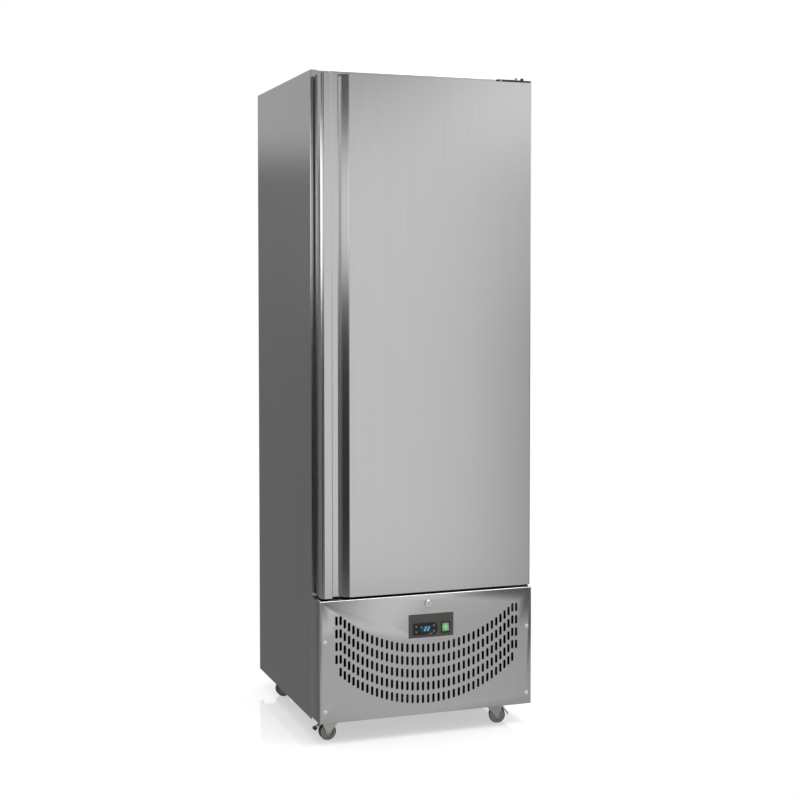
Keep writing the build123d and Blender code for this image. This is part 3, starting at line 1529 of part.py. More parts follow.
# Gland that the mains cable leaves through, in the back panel
with BuildPart() as mains_gland:
    with BuildSketch(front_plane(back_y)):
        with Locations((gland_x, gland_z)):
            Circle(gland_d / 2)
    extrude(amount=gland_length)
    with BuildSketch(front_plane(back_y - 2 * skin)):
        with Locations((gland_x, gland_z)):
            RegularPolygon(gland_nut_d / 2, 6)
    extrude(amount=gland_nut)
    with BuildSketch(front_plane(back_y)):
        with Locations((gland_x, gland_z)):
            Circle(gland_flange_d / 2)
    extrude(amount=skin)
    with BuildSketch(front_plane(back_y)):
        with Locations((gland_x, gland_z)):
            Circle(gland_bore_d / 2)
    extrude(amount=gland_length, mode=Mode.SUBTRACT)
mains_gland.part.label = "mains_gland"
export_step(mains_gland.part, "parts/mains_gland.step")

# Evaporator cover: a folded box under the ceiling with the fan mouth in its front
ceiling_z = store_top_z - liner_sheet
cover_low_z = ceiling_z - evap_cover_height
intake_count = int(2 * evap_coil_half / intake_pitch)
cover_back_y = store_back_y - liner_sheet - evap_cover_rear_gap
evap_fan_z = cover_low_z + evap_cover_sheet + evap_fan_d / 2 + evap_fan_rise
mouth_r = evap_fan_d / 2 + fan_tip_gap
with BuildPart() as evaporator_cover:
    with BuildSketch(Plane.XY.offset(cover_low_z)) as cover_outside:
        span((-cover_half, evap_cover_front_y), (cover_half, cover_back_y))
        fillet(cover_outside.vertices().group_by(Axis.Y)[0], evap_cover_round)
    extrude(amount=evap_cover_height)
    with BuildSketch(Plane.XY.offset(cover_low_z + evap_cover_sheet)) as cover_inside:
        span(
            (-cover_half + evap_cover_sheet, evap_cover_front_y + evap_cover_sheet),
            (cover_half - evap_cover_sheet, cover_back_y),
        )
        fillet(cover_inside.vertices().group_by(Axis.Y)[0], evap_cover_round - evap_cover_sheet)
    extrude(amount=evap_cover_height, mode=Mode.SUBTRACT)
    # Fan mouth with a cross and a ring as finger guard
    with BuildSketch(front_plane(evap_cover_front_y + evap_cover_sheet)):
        with Locations((0, evap_fan_z)):
            Circle(mouth_r)
            Circle(mouth_r * guard_outer_ring, mode=Mode.SUBTRACT)
            Circle(mouth_r * guard_outer_gap)
            Circle(mouth_r * guard_inner_ring, mode=Mode.SUBTRACT)
            Rectangle(2 * mouth_r + 2 * guard_bar_reach, guard_bar, mode=Mode.SUBTRACT)
            Rectangle(guard_bar, 2 * mouth_r + 2 * guard_bar_reach, mode=Mode.SUBTRACT)
    extrude(amount=evap_cover_sheet, mode=Mode.SUBTRACT)
    # Intake slots in the floor of the cover
    with BuildSketch(Plane.XY.offset(cover_low_z)):
        with Locations((0, evap_coil_y)):
            with GridLocations(intake_pitch, 1, intake_count, 1):
                Rectangle(intake_width, intake_length)
    extrude(amount=evap_cover_sheet, mode=Mode.SUBTRACT)
evaporator_cover.part.label = "evaporator_cover"
export_step(evaporator_cover.part, "parts/evaporator_cover.step")

# Evaporator coil, hung from the ceiling by its end plates
coil_top_z = ceiling_z - evap_coil_drop
coil_low_z = coil_top_z - evap_coil_height
evap_fin_count = int(2 * evap_coil_half / evap_fin_pitch) - 1
with BuildPart() as evaporator_coil:
    with BuildSketch(Plane.XY.offset(coil_low_z)):
        with Locations((0, evap_coil_y)):
            Rectangle(2 * evap_coil_half, evap_coil_depth - 2 * fin_stand)
            with GridLocations(evap_fin_pitch, 1, evap_fin_count, 1):
                Rectangle(fin_thickness, evap_coil_depth)
    extrude(amount=evap_coil_height)
    for side in (-1, 1):
        with BuildSketch(side_plane(side * evap_coil_half)):
            span(
                (evap_coil_y - evap_coil_depth / 2, coil_low_z),
                (evap_coil_y + evap_coil_depth / 2, ceiling_z),
            )
        extrude(amount=side * end_plate)
    with BuildSketch(front_plane(evap_port_y)):
        span(
            (riser_x - pipe_d, suction_z - pipe_d),
            (riser_x + riser_spacing + pipe_d, capillary_z + pipe_d),
        )
    extrude(amount=evap_port_length)
evaporator_coil.part.label = "evaporator_coil"
export_step(evaporator_coil.part, "parts/evaporator_coil.step")

# Evaporator fan motor on three arms behind the fan mouth
evap_motor_front_y = evap_cover_front_y + evap_motor_set_back
arm_back_y = evap_motor_front_y + motor_arm_set_back
stud_back_y = arm_back_y - motor_arm_sheet / 2
arm_reach = mouth_r + motor_arm_beyond
arm_end = arm_reach + motor_arm_end
with BuildPart() as evaporator_fan_motor:
    with BuildSketch(front_plane(evap_motor_front_y + evap_motor_length)):
        with Locations((0, evap_fan_z)):
            Circle(evap_motor_d / 2)
    extrude(amount=evap_motor_length)
    with BuildSketch(front_plane(arm_back_y)):
        span((-arm_end, evap_fan_z - motor_arm / 2), (arm_end, evap_fan_z + motor_arm / 2))
        span((-motor_arm / 2, evap_fan_z), (motor_arm / 2, evap_fan_z + arm_end))
    extrude(amount=motor_arm_sheet)
    with BuildSketch(front_plane(stud_back_y)):
        with Locations((-arm_reach, evap_fan_z), (arm_reach, evap_fan_z), (0, evap_fan_z + arm_reach)):
            Rectangle(motor_arm, motor_arm)
    extrude(amount=stud_back_y - evap_cover_front_y - evap_cover_sheet)
    with BuildSketch(front_plane(evap_motor_front_y)):
        with Locations((0, evap_fan_z)):
            Circle(evap_shaft_d / 2)
    extrude(amount=evap_shaft_length)
evaporator_fan_motor.part.label = "evaporator_fan_motor"
export_step(evaporator_fan_motor.part, "parts/evaporator_fan_motor.step")

# Evaporator fan blade on the motor's shaft
evap_hub_y = evap_cover_front_y + evap_fan_set_back
with BuildPart() as evaporator_fan_blade:
    fan_blades((0, evap_fan_z), evap_hub_d / 2, evap_fan_d / 2, evap_hub_y, evap_fan_depth)
    with BuildSketch(front_plane(evap_hub_y + evap_fan_depth)):
        with Locations((0, evap_fan_z)):
            Circle(evap_shaft_d / 2 + run_gap)
    extrude(amount=evap_bore_depth, mode=Mode.SUBTRACT)
evaporator_fan_blade.part.label = "evaporator_fan_blade"
export_step(evaporator_fan_blade.part, "parts/evaporator_fan_blade.step")

# Shelf rails: four upright channels on the walls of the store, with slots for the clips
rail_x = store_half - liner_sheet
rail_ys = (face_y + rail_front_inset, store_back_y - rail_rear_inset)
rail_bottom = store_floor_z + rail_floor_gap
rail_top = store_top_z - rail_ceiling_gap
lowest_shelf_z = rail_bottom + shelf_end_gap
shelf_pitch = (rail_top - shelf_end_gap - lowest_shelf_z) / (shelf_count - 1)
shelf_heights = [lowest_shelf_z + number * shelf_pitch for number in range(shelf_count)]
with BuildPart() as shelf_rails:
    for side in (-1, 1):
        for y in rail_ys:
            with BuildSketch(Plane.XY.offset(rail_bottom)):
                with BuildLine():
                    Polyline(
                        (side * rail_x, y - rail_width / 2),
                        (side * (rail_x - rail_depth), y - rail_width / 2),
                        (side * (rail_x - rail_depth), y + rail_width / 2),
                        (side * rail_x, y + rail_width / 2),
                    )
                    offset(amount=rail_sheet, side=Side.RIGHT if side < 0 else Side.LEFT)
                make_face()
            extrude(amount=rail_top - rail_bottom)
            with BuildSketch(side_plane(side * rail_x)):
                for z in shelf_heights:
                    with Locations((y, z - clip_height / 2)):
                        Rectangle(clip_hole_width, clip_height)
            extrude(amount=-side * 2 * rail_depth, mode=Mode.SUBTRACT)
shelf_rails.part.label = "shelf_rails"
export_step(shelf_rails.part, "parts/shelf_rails.step")

# Shelf clips: a hook through the rail and a ledge that the shelf's side rod lies on
rail_face_x = rail_x - rail_depth
ledge_x = rail_face_x - clip_reach
hook_x = rail_face_x + rail_sheet + clip_hook
with BuildPart() as shelf_clips:
    for side in (-1, 1):
        for y in rail_ys:
            for z in shelf_heights:
                with BuildSketch(front_plane(y + clip_hole_width / 2 - fit_gap)):
                    with BuildLine():
                        Polyline(
                            (side * hook_x, z - fit_gap),
                            (side * hook_x, z - clip_height / 2),
                            (side * rail_face_x, z - clip_height + fit_gap),
                            (side * (rail_face_x - clip_ledge), z - clip_height + fit_gap),
                            (side * ledge_x, z - clip_ledge),
                            (side * ledge_x, z),
                            (side * rail_face_x, z),
                            (side * rail_face_x, z - fit_gap),
                            close=True,
                        )
                    make_face()
                extrude(amount=clip_hole_width - 2 * fit_gap)
shelf_clips.part.label = "shelf_clips"
export_step(shelf_clips.part, "parts/shelf_clips.step")

# Wire shelves: a rod frame with wires welded across, lying on the clips
rod_flat = shelf_rod_d / 2
rod_corner = rod_flat / cos(radians(22.5))
wire_flat = shelf_wire_d / 2
wire_corner = wire_flat / cos(radians(30))
shelf_half = rail_face_x - rod_corner - shelf_side_gap
shelf_front_y = face_y + shelf_front_gap
shelf_back_y = store_back_y - shelf_rear_gap
shelf_middle_y = (shelf_front_y + shelf_back_y) / 2
shelf_depth = shelf_back_y - shelf_front_y
wire_pitch = 2 * (shelf_half - shelf_wire_margin) / (shelf_wires - 1)
for number, clip_z in enumerate(shelf_heights, start=1):
    rod_z = clip_z + rod_flat
    wire_z = rod_z + rod_flat + wire_flat - shelf_weld
    with BuildPart() as wire_shelf:
        with BuildSketch(front_plane(shelf_back_y)):
            with Locations((-shelf_half, rod_z), (shelf_half, rod_z)):
                RegularPolygon(rod_corner, 8, rotation=22.5)
        extrude(amount=shelf_depth)
        with BuildSketch(side_plane(-shelf_half - rod_flat)):
            with Locations((shelf_front_y, rod_z), (shelf_middle_y, rod_z), (shelf_back_y, rod_z)):
                RegularPolygon(rod_corner, 8, rotation=22.5)
        extrude(amount=2 * (shelf_half + rod_flat))
        with BuildSketch(front_plane(shelf_back_y)):
            with Locations((0, wire_z)):
                with GridLocations(wire_pitch, 1, shelf_wires, 1):
                    RegularPolygon(wire_corner, 6)
        extrude(amount=shelf_depth)
    wire_shelf.part.label = f"wire_shelf_{number}"
    export_step(wire_shelf.part, f"parts/wire_shelf_{number}.step")
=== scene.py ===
import json
from math import asin, cos, degrees, pi, radians, sin

import bpy
from mathutils import Matrix, Vector


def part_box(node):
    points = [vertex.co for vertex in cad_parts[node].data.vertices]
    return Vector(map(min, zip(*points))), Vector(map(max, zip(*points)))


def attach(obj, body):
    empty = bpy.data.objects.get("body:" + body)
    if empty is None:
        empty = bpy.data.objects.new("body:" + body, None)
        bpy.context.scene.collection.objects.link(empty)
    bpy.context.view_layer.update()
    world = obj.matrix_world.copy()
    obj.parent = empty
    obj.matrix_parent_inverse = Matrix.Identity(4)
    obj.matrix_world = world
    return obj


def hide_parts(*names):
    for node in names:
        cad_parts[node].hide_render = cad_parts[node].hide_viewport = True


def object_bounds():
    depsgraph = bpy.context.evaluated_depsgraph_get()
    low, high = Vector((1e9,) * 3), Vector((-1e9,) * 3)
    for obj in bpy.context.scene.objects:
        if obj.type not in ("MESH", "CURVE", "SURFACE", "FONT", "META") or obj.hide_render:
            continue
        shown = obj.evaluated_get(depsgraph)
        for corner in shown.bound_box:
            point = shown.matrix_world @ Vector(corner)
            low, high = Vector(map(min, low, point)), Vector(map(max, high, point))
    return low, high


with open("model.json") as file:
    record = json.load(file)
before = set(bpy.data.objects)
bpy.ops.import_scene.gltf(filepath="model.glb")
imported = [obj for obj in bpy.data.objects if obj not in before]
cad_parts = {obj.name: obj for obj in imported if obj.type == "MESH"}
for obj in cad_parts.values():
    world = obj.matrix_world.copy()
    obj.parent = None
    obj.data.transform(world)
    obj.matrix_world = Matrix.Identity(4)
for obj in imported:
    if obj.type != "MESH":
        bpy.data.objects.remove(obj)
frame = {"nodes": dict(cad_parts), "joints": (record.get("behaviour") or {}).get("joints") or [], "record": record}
cad_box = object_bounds()
scene = bpy.context.scene
scene.view_settings.view_transform = "Standard"

MM = 0.001


def middle_of(node):
    """The middle of a node's box."""
    low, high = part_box(node)
    return (low + high) / 2


# Shader maths

class Value:
    """A number in a node tree that can be added, taken away, multiplied and raised to a power."""

    def __init__(self, nodes, socket):
        self.nodes = nodes
        self.socket = socket

    def maths(self, operation, *terms):
        result = self.nodes.add("ShaderNodeMath", {"operation": operation}, dict(enumerate(terms)))
        return Value(self.nodes, result)

    def __add__(self, other):
        return self.maths("ADD", self, other)

    def __radd__(self, other):
        return self.maths("ADD", other, self)

    def __sub__(self, other):
        return self.maths("SUBTRACT", self, other)

    def __rsub__(self, other):
        return self.maths("SUBTRACT", other, self)

    def __mul__(self, other):
        return self.maths("MULTIPLY", self, other)

    def __rmul__(self, other):
        return self.maths("MULTIPLY", other, self)

    def __pow__(self, other):
        return self.maths("POWER", self, other)

    def at_least(self, other):
        return self.maths("MAXIMUM", self, other)


class Nodes:
    """A node tree being filled."""

    def __init__(self, tree):
        self.tree = tree

    def add(self, kind, settings=None, inputs=None, output=0):
        """A new node with its settings, then its inputs; gives one of its outputs."""
        node = self.tree.nodes.new(kind)
        for name, setting in (settings or {}).items():
            if name == "stops":
                self.set_stops(node.color_ramp, setting)
            else:
                setattr(node, name, setting)
        self.feed(node, inputs or {})
        return node.outputs[output]

    def set_stops(self, ramp, stops):
        while len(ramp.elements) < len(stops):
            ramp.elements.new(0.5)
        for element, (position, colour) in zip(ramp.elements, stops):
            element.position = position
            element.color = (*colour, 1.0)

    def feed(self, node, inputs):
        """Sets or links the inputs of a node."""
        for name, given in inputs.items():
            socket = node.inputs[name]
            if isinstance(given, Value):
                given = given.socket
            if isinstance(given, bpy.types.NodeSocket):
                self.tree.links.new(given, socket)
            else:
                socket.default_value = given

    def value(self, kind, settings=None, inputs=None, output=0):
        return Value(self, self.add(kind, settings, inputs, output))

    def smooth_step(self, value, start, end, low=0.0, high=1.0):
        """Goes from low to high in a soft curve while value goes from start to end."""
        places = {"Value": value, "From Min": start, "From Max": end, "To Min": low, "To Max": high}
        return self.value("ShaderNodeMapRange", {"interpolation_type": "SMOOTHSTEP"}, places)

    def blend(self, factor, first, second):
        """A colour between two colours."""
        return self.add("ShaderNodeMix", {"data_type": "RGBA"}, {0: factor, 6: first, 7: second}, output=2)


class Finish(Nodes):
    """A material being made around one shader. What stays the same all over is set on the shader."""

    def __init__(self, name, colour, roughness, **constants):
        self.material = bpy.data.materials.new(name)
        self.material.use_nodes = True
        super().__init__(self.material.node_tree)
        self.shader = self.tree.nodes["Principled BSDF"]
        self.colour = colour
        self.feed(self.shader, {"Base Color": (*colour, 1.0), "Roughness": roughness})
        self.feed(self.shader, {key.replace("_", " "): number for key, number in constants.items()})
        self.place = self.add("ShaderNodeTexCoord", output="Object")

    def stretched(self, across):
        """The place on the object with each axis multiplied, for patterns drawn out along an axis."""
        return self.add("ShaderNodeVectorMath", {"operation": "MULTIPLY"}, {0: self.place, 1: across})

    def noise(self, across, detail=2.0, roughness=0.5):
        """Noise around 0.5 with so many waves a metre along each axis."""
        look = {"Vector": self.stretched(across), "Scale": 1.0, "Detail": detail, "Roughness": roughness}
        return self.value("ShaderNodeTexNoise", inputs=look)

    def shade_colour(self, shade):
        """Base colour made darker or lighter by a number around 1."""
        grey = self.add("ShaderNodeCombineColor", inputs={0: shade, 1: shade, 2: shade})
        tinted = self.add("ShaderNodeMix", {"data_type": "RGBA", "blend_type": "MULTIPLY"},
                          {0: 1.0, 6: (*self.colour, 1.0), 7: grey}, output=2)
        self.feed(self.shader, {"Base Color": tinted})

    def bump(self, height, distance, strength=1.0):
        """Small relief: height goes from 0 to 1 over a distance in metres."""
        relief = {"Height": height, "Distance": distance, "Strength": strength}
        self.feed(self.shader, {"Normal": self.add("ShaderNodeBump", inputs=relief)})

    def distance_from(self, point):
        """How far the surface lies from a point, in metres."""
        ends = {0: self.place, 1: point}
        return self.value("ShaderNodeVectorMath", {"operation": "DISTANCE"}, ends, "Value")


# Finishes of the sheet metal

def brushed_steel(name, colour, roughness, across=(1.0, 1.0, 0.0)):
    """Stainless sheet brushed along the axis that across leaves out."""
    steel = Finish(name, colour, roughness, Metallic=1.0, Anisotropic=0.6)
    hair_waves = [9.0 + 900.0 * a for a in across]
    band_waves = [0.6 + 70.0 * a for a in across]
    hairs = steel.noise(hair_waves, detail=3.0, roughness=0.6)
    bands = steel.noise(band_waves, detail=2.0)
    cloud = steel.noise((3.0, 3.0, 2.0), detail=2.0)
    steel.shade_colour(1.0 + 0.15 * (hairs - 0.5) + 0.03 * (bands - 0.5) + 0.03 * (cloud - 0.5))
    steel.feed(steel.shader, {"Roughness": roughness + 0.06 * (hairs - 0.5) + 0.02 * (cloud - 0.5)})
    steel.bump(hairs, 0.01 * MM, 0.5)
    return steel.material


def galvanised_sheet(name, colour):
    """Hot dip zinc with its frost of crystals."""
    zinc = Finish(name, colour, 0.45, Metallic=0.85)
    grid = {"Vector": zinc.place, "Scale": 85.0}
    crystal = zinc.add("ShaderNodeTexVoronoi", {"feature": "F1"}, grid, "Color")
    facet = zinc.value("ShaderNodeSeparateColor", inputs={0: crystal})
    frost = zinc.noise((420.0, 420.0, 420.0), detail=3.0)
    zinc.shade_colour(0.82 + 0.26 * facet + 0.10 * (frost - 0.5))
    zinc.feed(zinc.shader, {"Roughness": 0.36 + 0.16 * facet + 0.08 * (frost - 0.5)})
    zinc.bump(facet * 0.5 + frost * 0.5, 0.04 * MM)
    return zinc.material


def plated_steel(name, colour, roughness, metallic=1.0):
    """Bright or dull plated metal with faint tarnish."""
    plate = Finish(name, colour, roughness, Metallic=metallic)
    tarnish = plate.noise((55.0, 55.0, 55.0), detail=4.0)
    pits = plate.noise((1400.0, 1400.0, 1400.0), detail=2.0)
    plate.shade_colour(0.94 + 0.14 * (tarnish - 0.4))
    plate.feed(plate.shader, {"Roughness": roughness + 0.16 * (tarnish - 0.5) + 0.04 * (pits - 0.5)})
    plate.bump(pits, 0.02 * MM)
    return plate.material


def painted_steel(name, colour, roughness, grain=900.0):
    """Powder coat or enamel with its fine orange peel."""
    paint = Finish(name, colour, roughness)
    peel = paint.noise((grain, grain, grain), detail=2.0)
    dust = paint.noise((30.0, 30.0, 30.0), detail=4.0)
    paint.shade_colour(0.92 + 0.20 * (dust - 0.4))
    paint.feed(paint.shader, {"Roughness": roughness + 0.14 * (dust - 0.5)})
    paint.bump(peel, 0.06 * MM, 0.6)
    return paint.material


def moulded_plastic(name, colour, roughness, grain=1600.0, **constants):
    """Moulded plastic with an even fine texture."""
    plastic = Finish(name, colour, roughness, **constants)
    texture = plastic.noise((grain, grain, grain), detail=2.0)
    wear = plastic.noise((60.0, 60.0, 60.0), detail=3.0)
    plastic.shade_colour(0.95 + 0.12 * (wear - 0.4))
    plastic.feed(plastic.shader, {"Roughness": roughness + 0.10 * (wear - 0.5)})
    plastic.bump(texture, 0.03 * MM, 0.6)
    return plastic.material


def soft_rubber(name, colour):
    """Dull rubber with a little dust on it."""
    rubber = Finish(name, colour, 0.7)
    dust = rubber.noise((45.0, 45.0, 45.0), detail=5.0)
    pores = rubber.noise((1100.0, 1100.0, 1100.0), detail=2.0)
    rubber.shade_colour(0.88 + 0.30 * (dust - 0.4))
    rubber.feed(rubber.shader, {"Roughness": 0.66 + 0.16 * dust})
    rubber.bump(pores, 0.05 * MM, 0.7)
    return rubber.material


def caster_wheel(name, node, axle):
    """Grey wheel with a darker tread and a ring of painted shade for a groove: the colour goes by the distance
    from the axle line.
    """
    disc_radius = 21.0 * MM
    tread_radius = 22.6 * MM
    groove_radius = 18.0 * MM
    groove_half = 0.2 * MM
    groove_reach = 0.8 * MM
    wheel = Finish(name, (0.34, 0.34, 0.32), 0.42)
    reach = wheel.add("ShaderNodeVectorMath", {"operation": "SUBTRACT"}, {0: wheel.place, 1: middle_of(node)})
    along = wheel.add("ShaderNodeVectorMath", {"operation": "PROJECT"}, {0: reach, 1: axle})
    aside = wheel.add("ShaderNodeVectorMath", {"operation": "SUBTRACT"}, {0: reach, 1: along})
    radius = wheel.value("ShaderNodeVectorMath", {"operation": "LENGTH"}, {0: aside}, "Value")
    tread = wheel.smooth_step(radius, disc_radius, tread_radius)
    from_groove = (radius - groove_radius).maths("ABSOLUTE", radius - groove_radius)
    groove_shade = wheel.smooth_step(from_groove, groove_half, groove_reach, 1.0, 0.0)
    dust = wheel.noise((60.0, 60.0, 60.0), detail=4.0)
    # The tread is dark rubber; the darker ring at the groove is painted shade.
    wheel.shade_colour((1.0 - 0.86 * tread) * (1.0 - 0.45 * groove_shade) + 0.30 * (dust - 0.5))
    wheel.feed(wheel.shader, {"Roughness": 0.38 + 0.30 * tread + 0.15 * (dust - 0.5)})
    wheel.bump(dust, 0.04 * MM, 0.5)
    return wheel.material


def rigid_foam(name, colour):
    """Closed cell foam with a skin of small blisters."""
    foam = Finish(name, colour, 0.85)
    cells = foam.value("ShaderNodeTexVoronoi", {"feature": "F1"}, {"Vector": foam.place, "Scale": 420.0})
    stain = foam.noise((18.0, 18.0, 18.0), detail=4.0)
    foam.shade_colour(0.86 + 0.30 * (stain - 0.3) - 0.10 * cells)
    foam.bump(cells, 0.2 * MM, 0.8)
    return foam.material


def copper_tube(name, colour):
    """Drawn copper, darker where it has aged."""
    copper = Finish(name, colour, 0.3, Metallic=1.0)
    age = copper.noise((38.0, 38.0, 38.0), detail=4.0)
    copper.shade_colour(0.70 + 0.55 * (age - 0.3))
    copper.feed(copper.shader, {"Roughness": 0.22 + 0.30 * age})
    return copper.material


def lit_rocker(name, colour):
    """Green rocker with a lamp behind it: brighter in the middle."""
    lens = Finish(name, colour, 0.22, Emission_Strength=1.0)
    away = lens.distance_from(middle_of("switch_rocker"))
    glow = lens.smooth_step(away, 1.0 * MM, 15.0 * MM, 0.34, 0.02)
    light = lens.blend(glow, (0.0, 0.0, 0.0, 1.0), (0.62, 1.0, 0.46, 1.0))
    lens.feed(lens.shader, {"Emission Color": light})
    speck = lens.noise((700.0, 700.0, 700.0))
    lens.shade_colour(0.95 + 0.1 * speck)
    lens.bump(speck, 0.03 * MM, 0.4)
    return lens.material


def dark_window(name, colour):
    """Tinted window that a blue glow shows through in the middle."""
    glass = Finish(name, colour, 0.12, Emission_Strength=1.0, Coat_Weight=0.5, Coat_Roughness=0.05)
    away = glass.distance_from(middle_of("display_window"))
    glow = glass.smooth_step(away, 3.0 * MM, 14.0 * MM, 0.06, 0.0)
    light = glass.blend(glow, (0.0, 0.0, 0.0, 1.0), (0.05, 0.35, 1.0, 1.0))
    glass.feed(glass.shader, {"Emission Color": light})
    smear = glass.noise((260.0, 260.0, 260.0), detail=3.0)
    glass.feed(glass.shader, {"Roughness": 0.08 + 0.10 * smear})
    return glass.material


upright = (1.0, 1.0, 0.0)
finishes = {
    "stainless_front": brushed_steel("stainless_front", (0.60, 0.60, 0.60), 0.15, upright),
    "stainless_side": brushed_steel("stainless_side", (0.56, 0.56, 0.555), 0.16, upright),
    "liner_steel": brushed_steel("liner_steel", (0.60, 0.60, 0.60), 0.34, upright),
    "rail_steel": brushed_steel("rail_steel", (0.56, 0.56, 0.56), 0.30, upright),
    "galvanised": galvanised_sheet("galvanised", (0.50, 0.51, 0.52)),
    "foam": rigid_foam("foam", (0.72, 0.60, 0.34)),
    "grey_cap": moulded_plastic("grey_cap", (0.66, 0.66, 0.66), 0.30),
    "plate_grey": moulded_plastic("plate_grey", (0.075, 0.075, 0.072), 0.42, 2400.0),
    "controller_black": moulded_plastic("controller_black", (0.006, 0.006, 0.007), 0.30),
    "display_window": dark_window("display_window", (0.004, 0.008, 0.02)),
    "button_grey": moulded_plastic("button_grey", (0.06, 0.062, 0.068), 0.5),
    "switch_black": moulded_plastic("switch_black", (0.005, 0.005, 0.005), 0.30),
    "rocker_green": lit_rocker("rocker_green", (0.10, 0.30, 0.12)),
    "bright_chrome": plated_steel("bright_chrome", (0.72, 0.72, 0.72), 0.12),
    "gasket_rubber": soft_rubber("gasket_rubber", (0.20, 0.20, 0.21)),
    "bush_nylon": moulded_plastic("bush_nylon", (0.72, 0.70, 0.64), 0.45),
    "bracket_black": painted_steel("bracket_black", (0.018, 0.018, 0.018), 0.38),
    "bright_screw": plated_steel("bright_screw", (0.50, 0.50, 0.49), 0.28),
    "caster_zinc": plated_steel("caster_zinc", (0.62, 0.61, 0.58), 0.34, 0.85),
    "compressor_black": painted_steel("compressor_black", (0.014, 0.014, 0.014), 0.25, 300.0),
    "mount_rubber": soft_rubber("mount_rubber", (0.022, 0.022, 0.022)),
    "coil_fins": plated_steel("coil_fins", (0.62, 0.63, 0.64), 0.35),
    "motor_grey": painted_steel("motor_grey", (0.09, 0.09, 0.095), 0.42),
    "fan_aluminium": plated_steel("fan_aluminium", (0.60, 0.60, 0.61), 0.32),
    "fan_plastic": moulded_plastic("fan_plastic", (0.02, 0.02, 0.022), 0.45),
    "tray_plastic": moulded_plastic("tray_plastic", (0.035, 0.035, 0.038), 0.5),
    "copper_pipe": copper_tube("copper_pipe", (0.72, 0.34, 0.20)),
    "gland_plastic": moulded_plastic("gland_plastic", (0.018, 0.018, 0.018), 0.45),
    "shelf_wire": moulded_plastic("shelf_wire", (0.58, 0.58, 0.56), 0.35),
}
axles = {joint["child"]: joint["axis"] for joint in frame["joints"] if joint["name"].startswith("roll_")}
# Painted shade: the condenser, its fan shroud and the base tray are made near black for the shade of the machine
# space seen through the slots. The condenser's black paint is also its own colour.
shaded_black_fins = painted_steel("condenser_black_shade", (0.012, 0.012, 0.013), 0.45)
shaded_machine_zinc = galvanised_sheet("machine_zinc_shade", (0.20, 0.205, 0.21))
node_finishes = {
    "condenser_coil": shaded_black_fins,
    "condenser_fan_shroud": painted_steel("shroud_painted_shade", (0.016, 0.016, 0.017), 0.5),
    "base_tray": shaded_machine_zinc,
}
for corner in ("front_left", "front_right", "rear_left", "rear_right"):
    wheel_node = f"caster_wheel_{corner}"
    node_finishes[wheel_node] = caster_wheel(f"wheel_{corner}", wheel_node, axles[f"wheel_{corner}"])
for subpart in frame["record"]["subparts"]:
    node = frame["nodes"][subpart["node"]]
    for material_slot in node.material_slots:
        material_slot.material = node_finishes.get(subpart["node"]) or finishes[subpart["material_slot"]]


# Camera: a little above the middle, to the left in front of the freezer

camera_turn = 19.594
camera_dip = 2.465
camera_height = 1.3459
camera_back = 4.4650
camera_left = 1.5523
focal_pixels = 1470.9
image_pixels = 800
sensor = 36.0
frame_shift = 0.06

camera_data = bpy.data.cameras.new("camera")
camera_data.sensor_width = sensor
camera_data.lens = focal_pixels / image_pixels * sensor
camera_data.shift_y = -frame_shift
camera = bpy.data.objects.new("camera", camera_data)
camera.location = (-camera_left, -camera_back, camera_height)
camera.rotation_euler = (pi / 2 - radians(camera_dip), 0.0, -radians(camera_turn))
scene.collection.objects.link(camera)
scene.camera = camera


# Studio: white to the camera, a soft grey room in reflections

world = bpy.data.worlds.new("studio")
world.use_nodes = True
scene.world = world
room = Nodes(world.node_tree)
sky = room.add("ShaderNodeTexCoord", output="Generated")
sky_axes = [room.value("ShaderNodeSeparateXYZ", inputs={0: sky}, output=n) for n in range(3)]
rightwards, backwards, skywards = sky_axes
turn = rightwards.maths("ARCTAN2", rightwards, 0.0 - backwards) * degrees(1.0)
lift = skywards.maths("ARCSINE", skywards) * degrees(1.0)


def between(angle, low, low_soft, high, high_soft):
    """1 where an angle of the sky lies between two others and 0 outside, with a soft edge on each side."""
    rising = room.smooth_step(angle, low - low_soft, low + low_soft)
    return rising * room.smooth_step(angle, high - high_soft, high + high_soft, 1.0, 0.0)


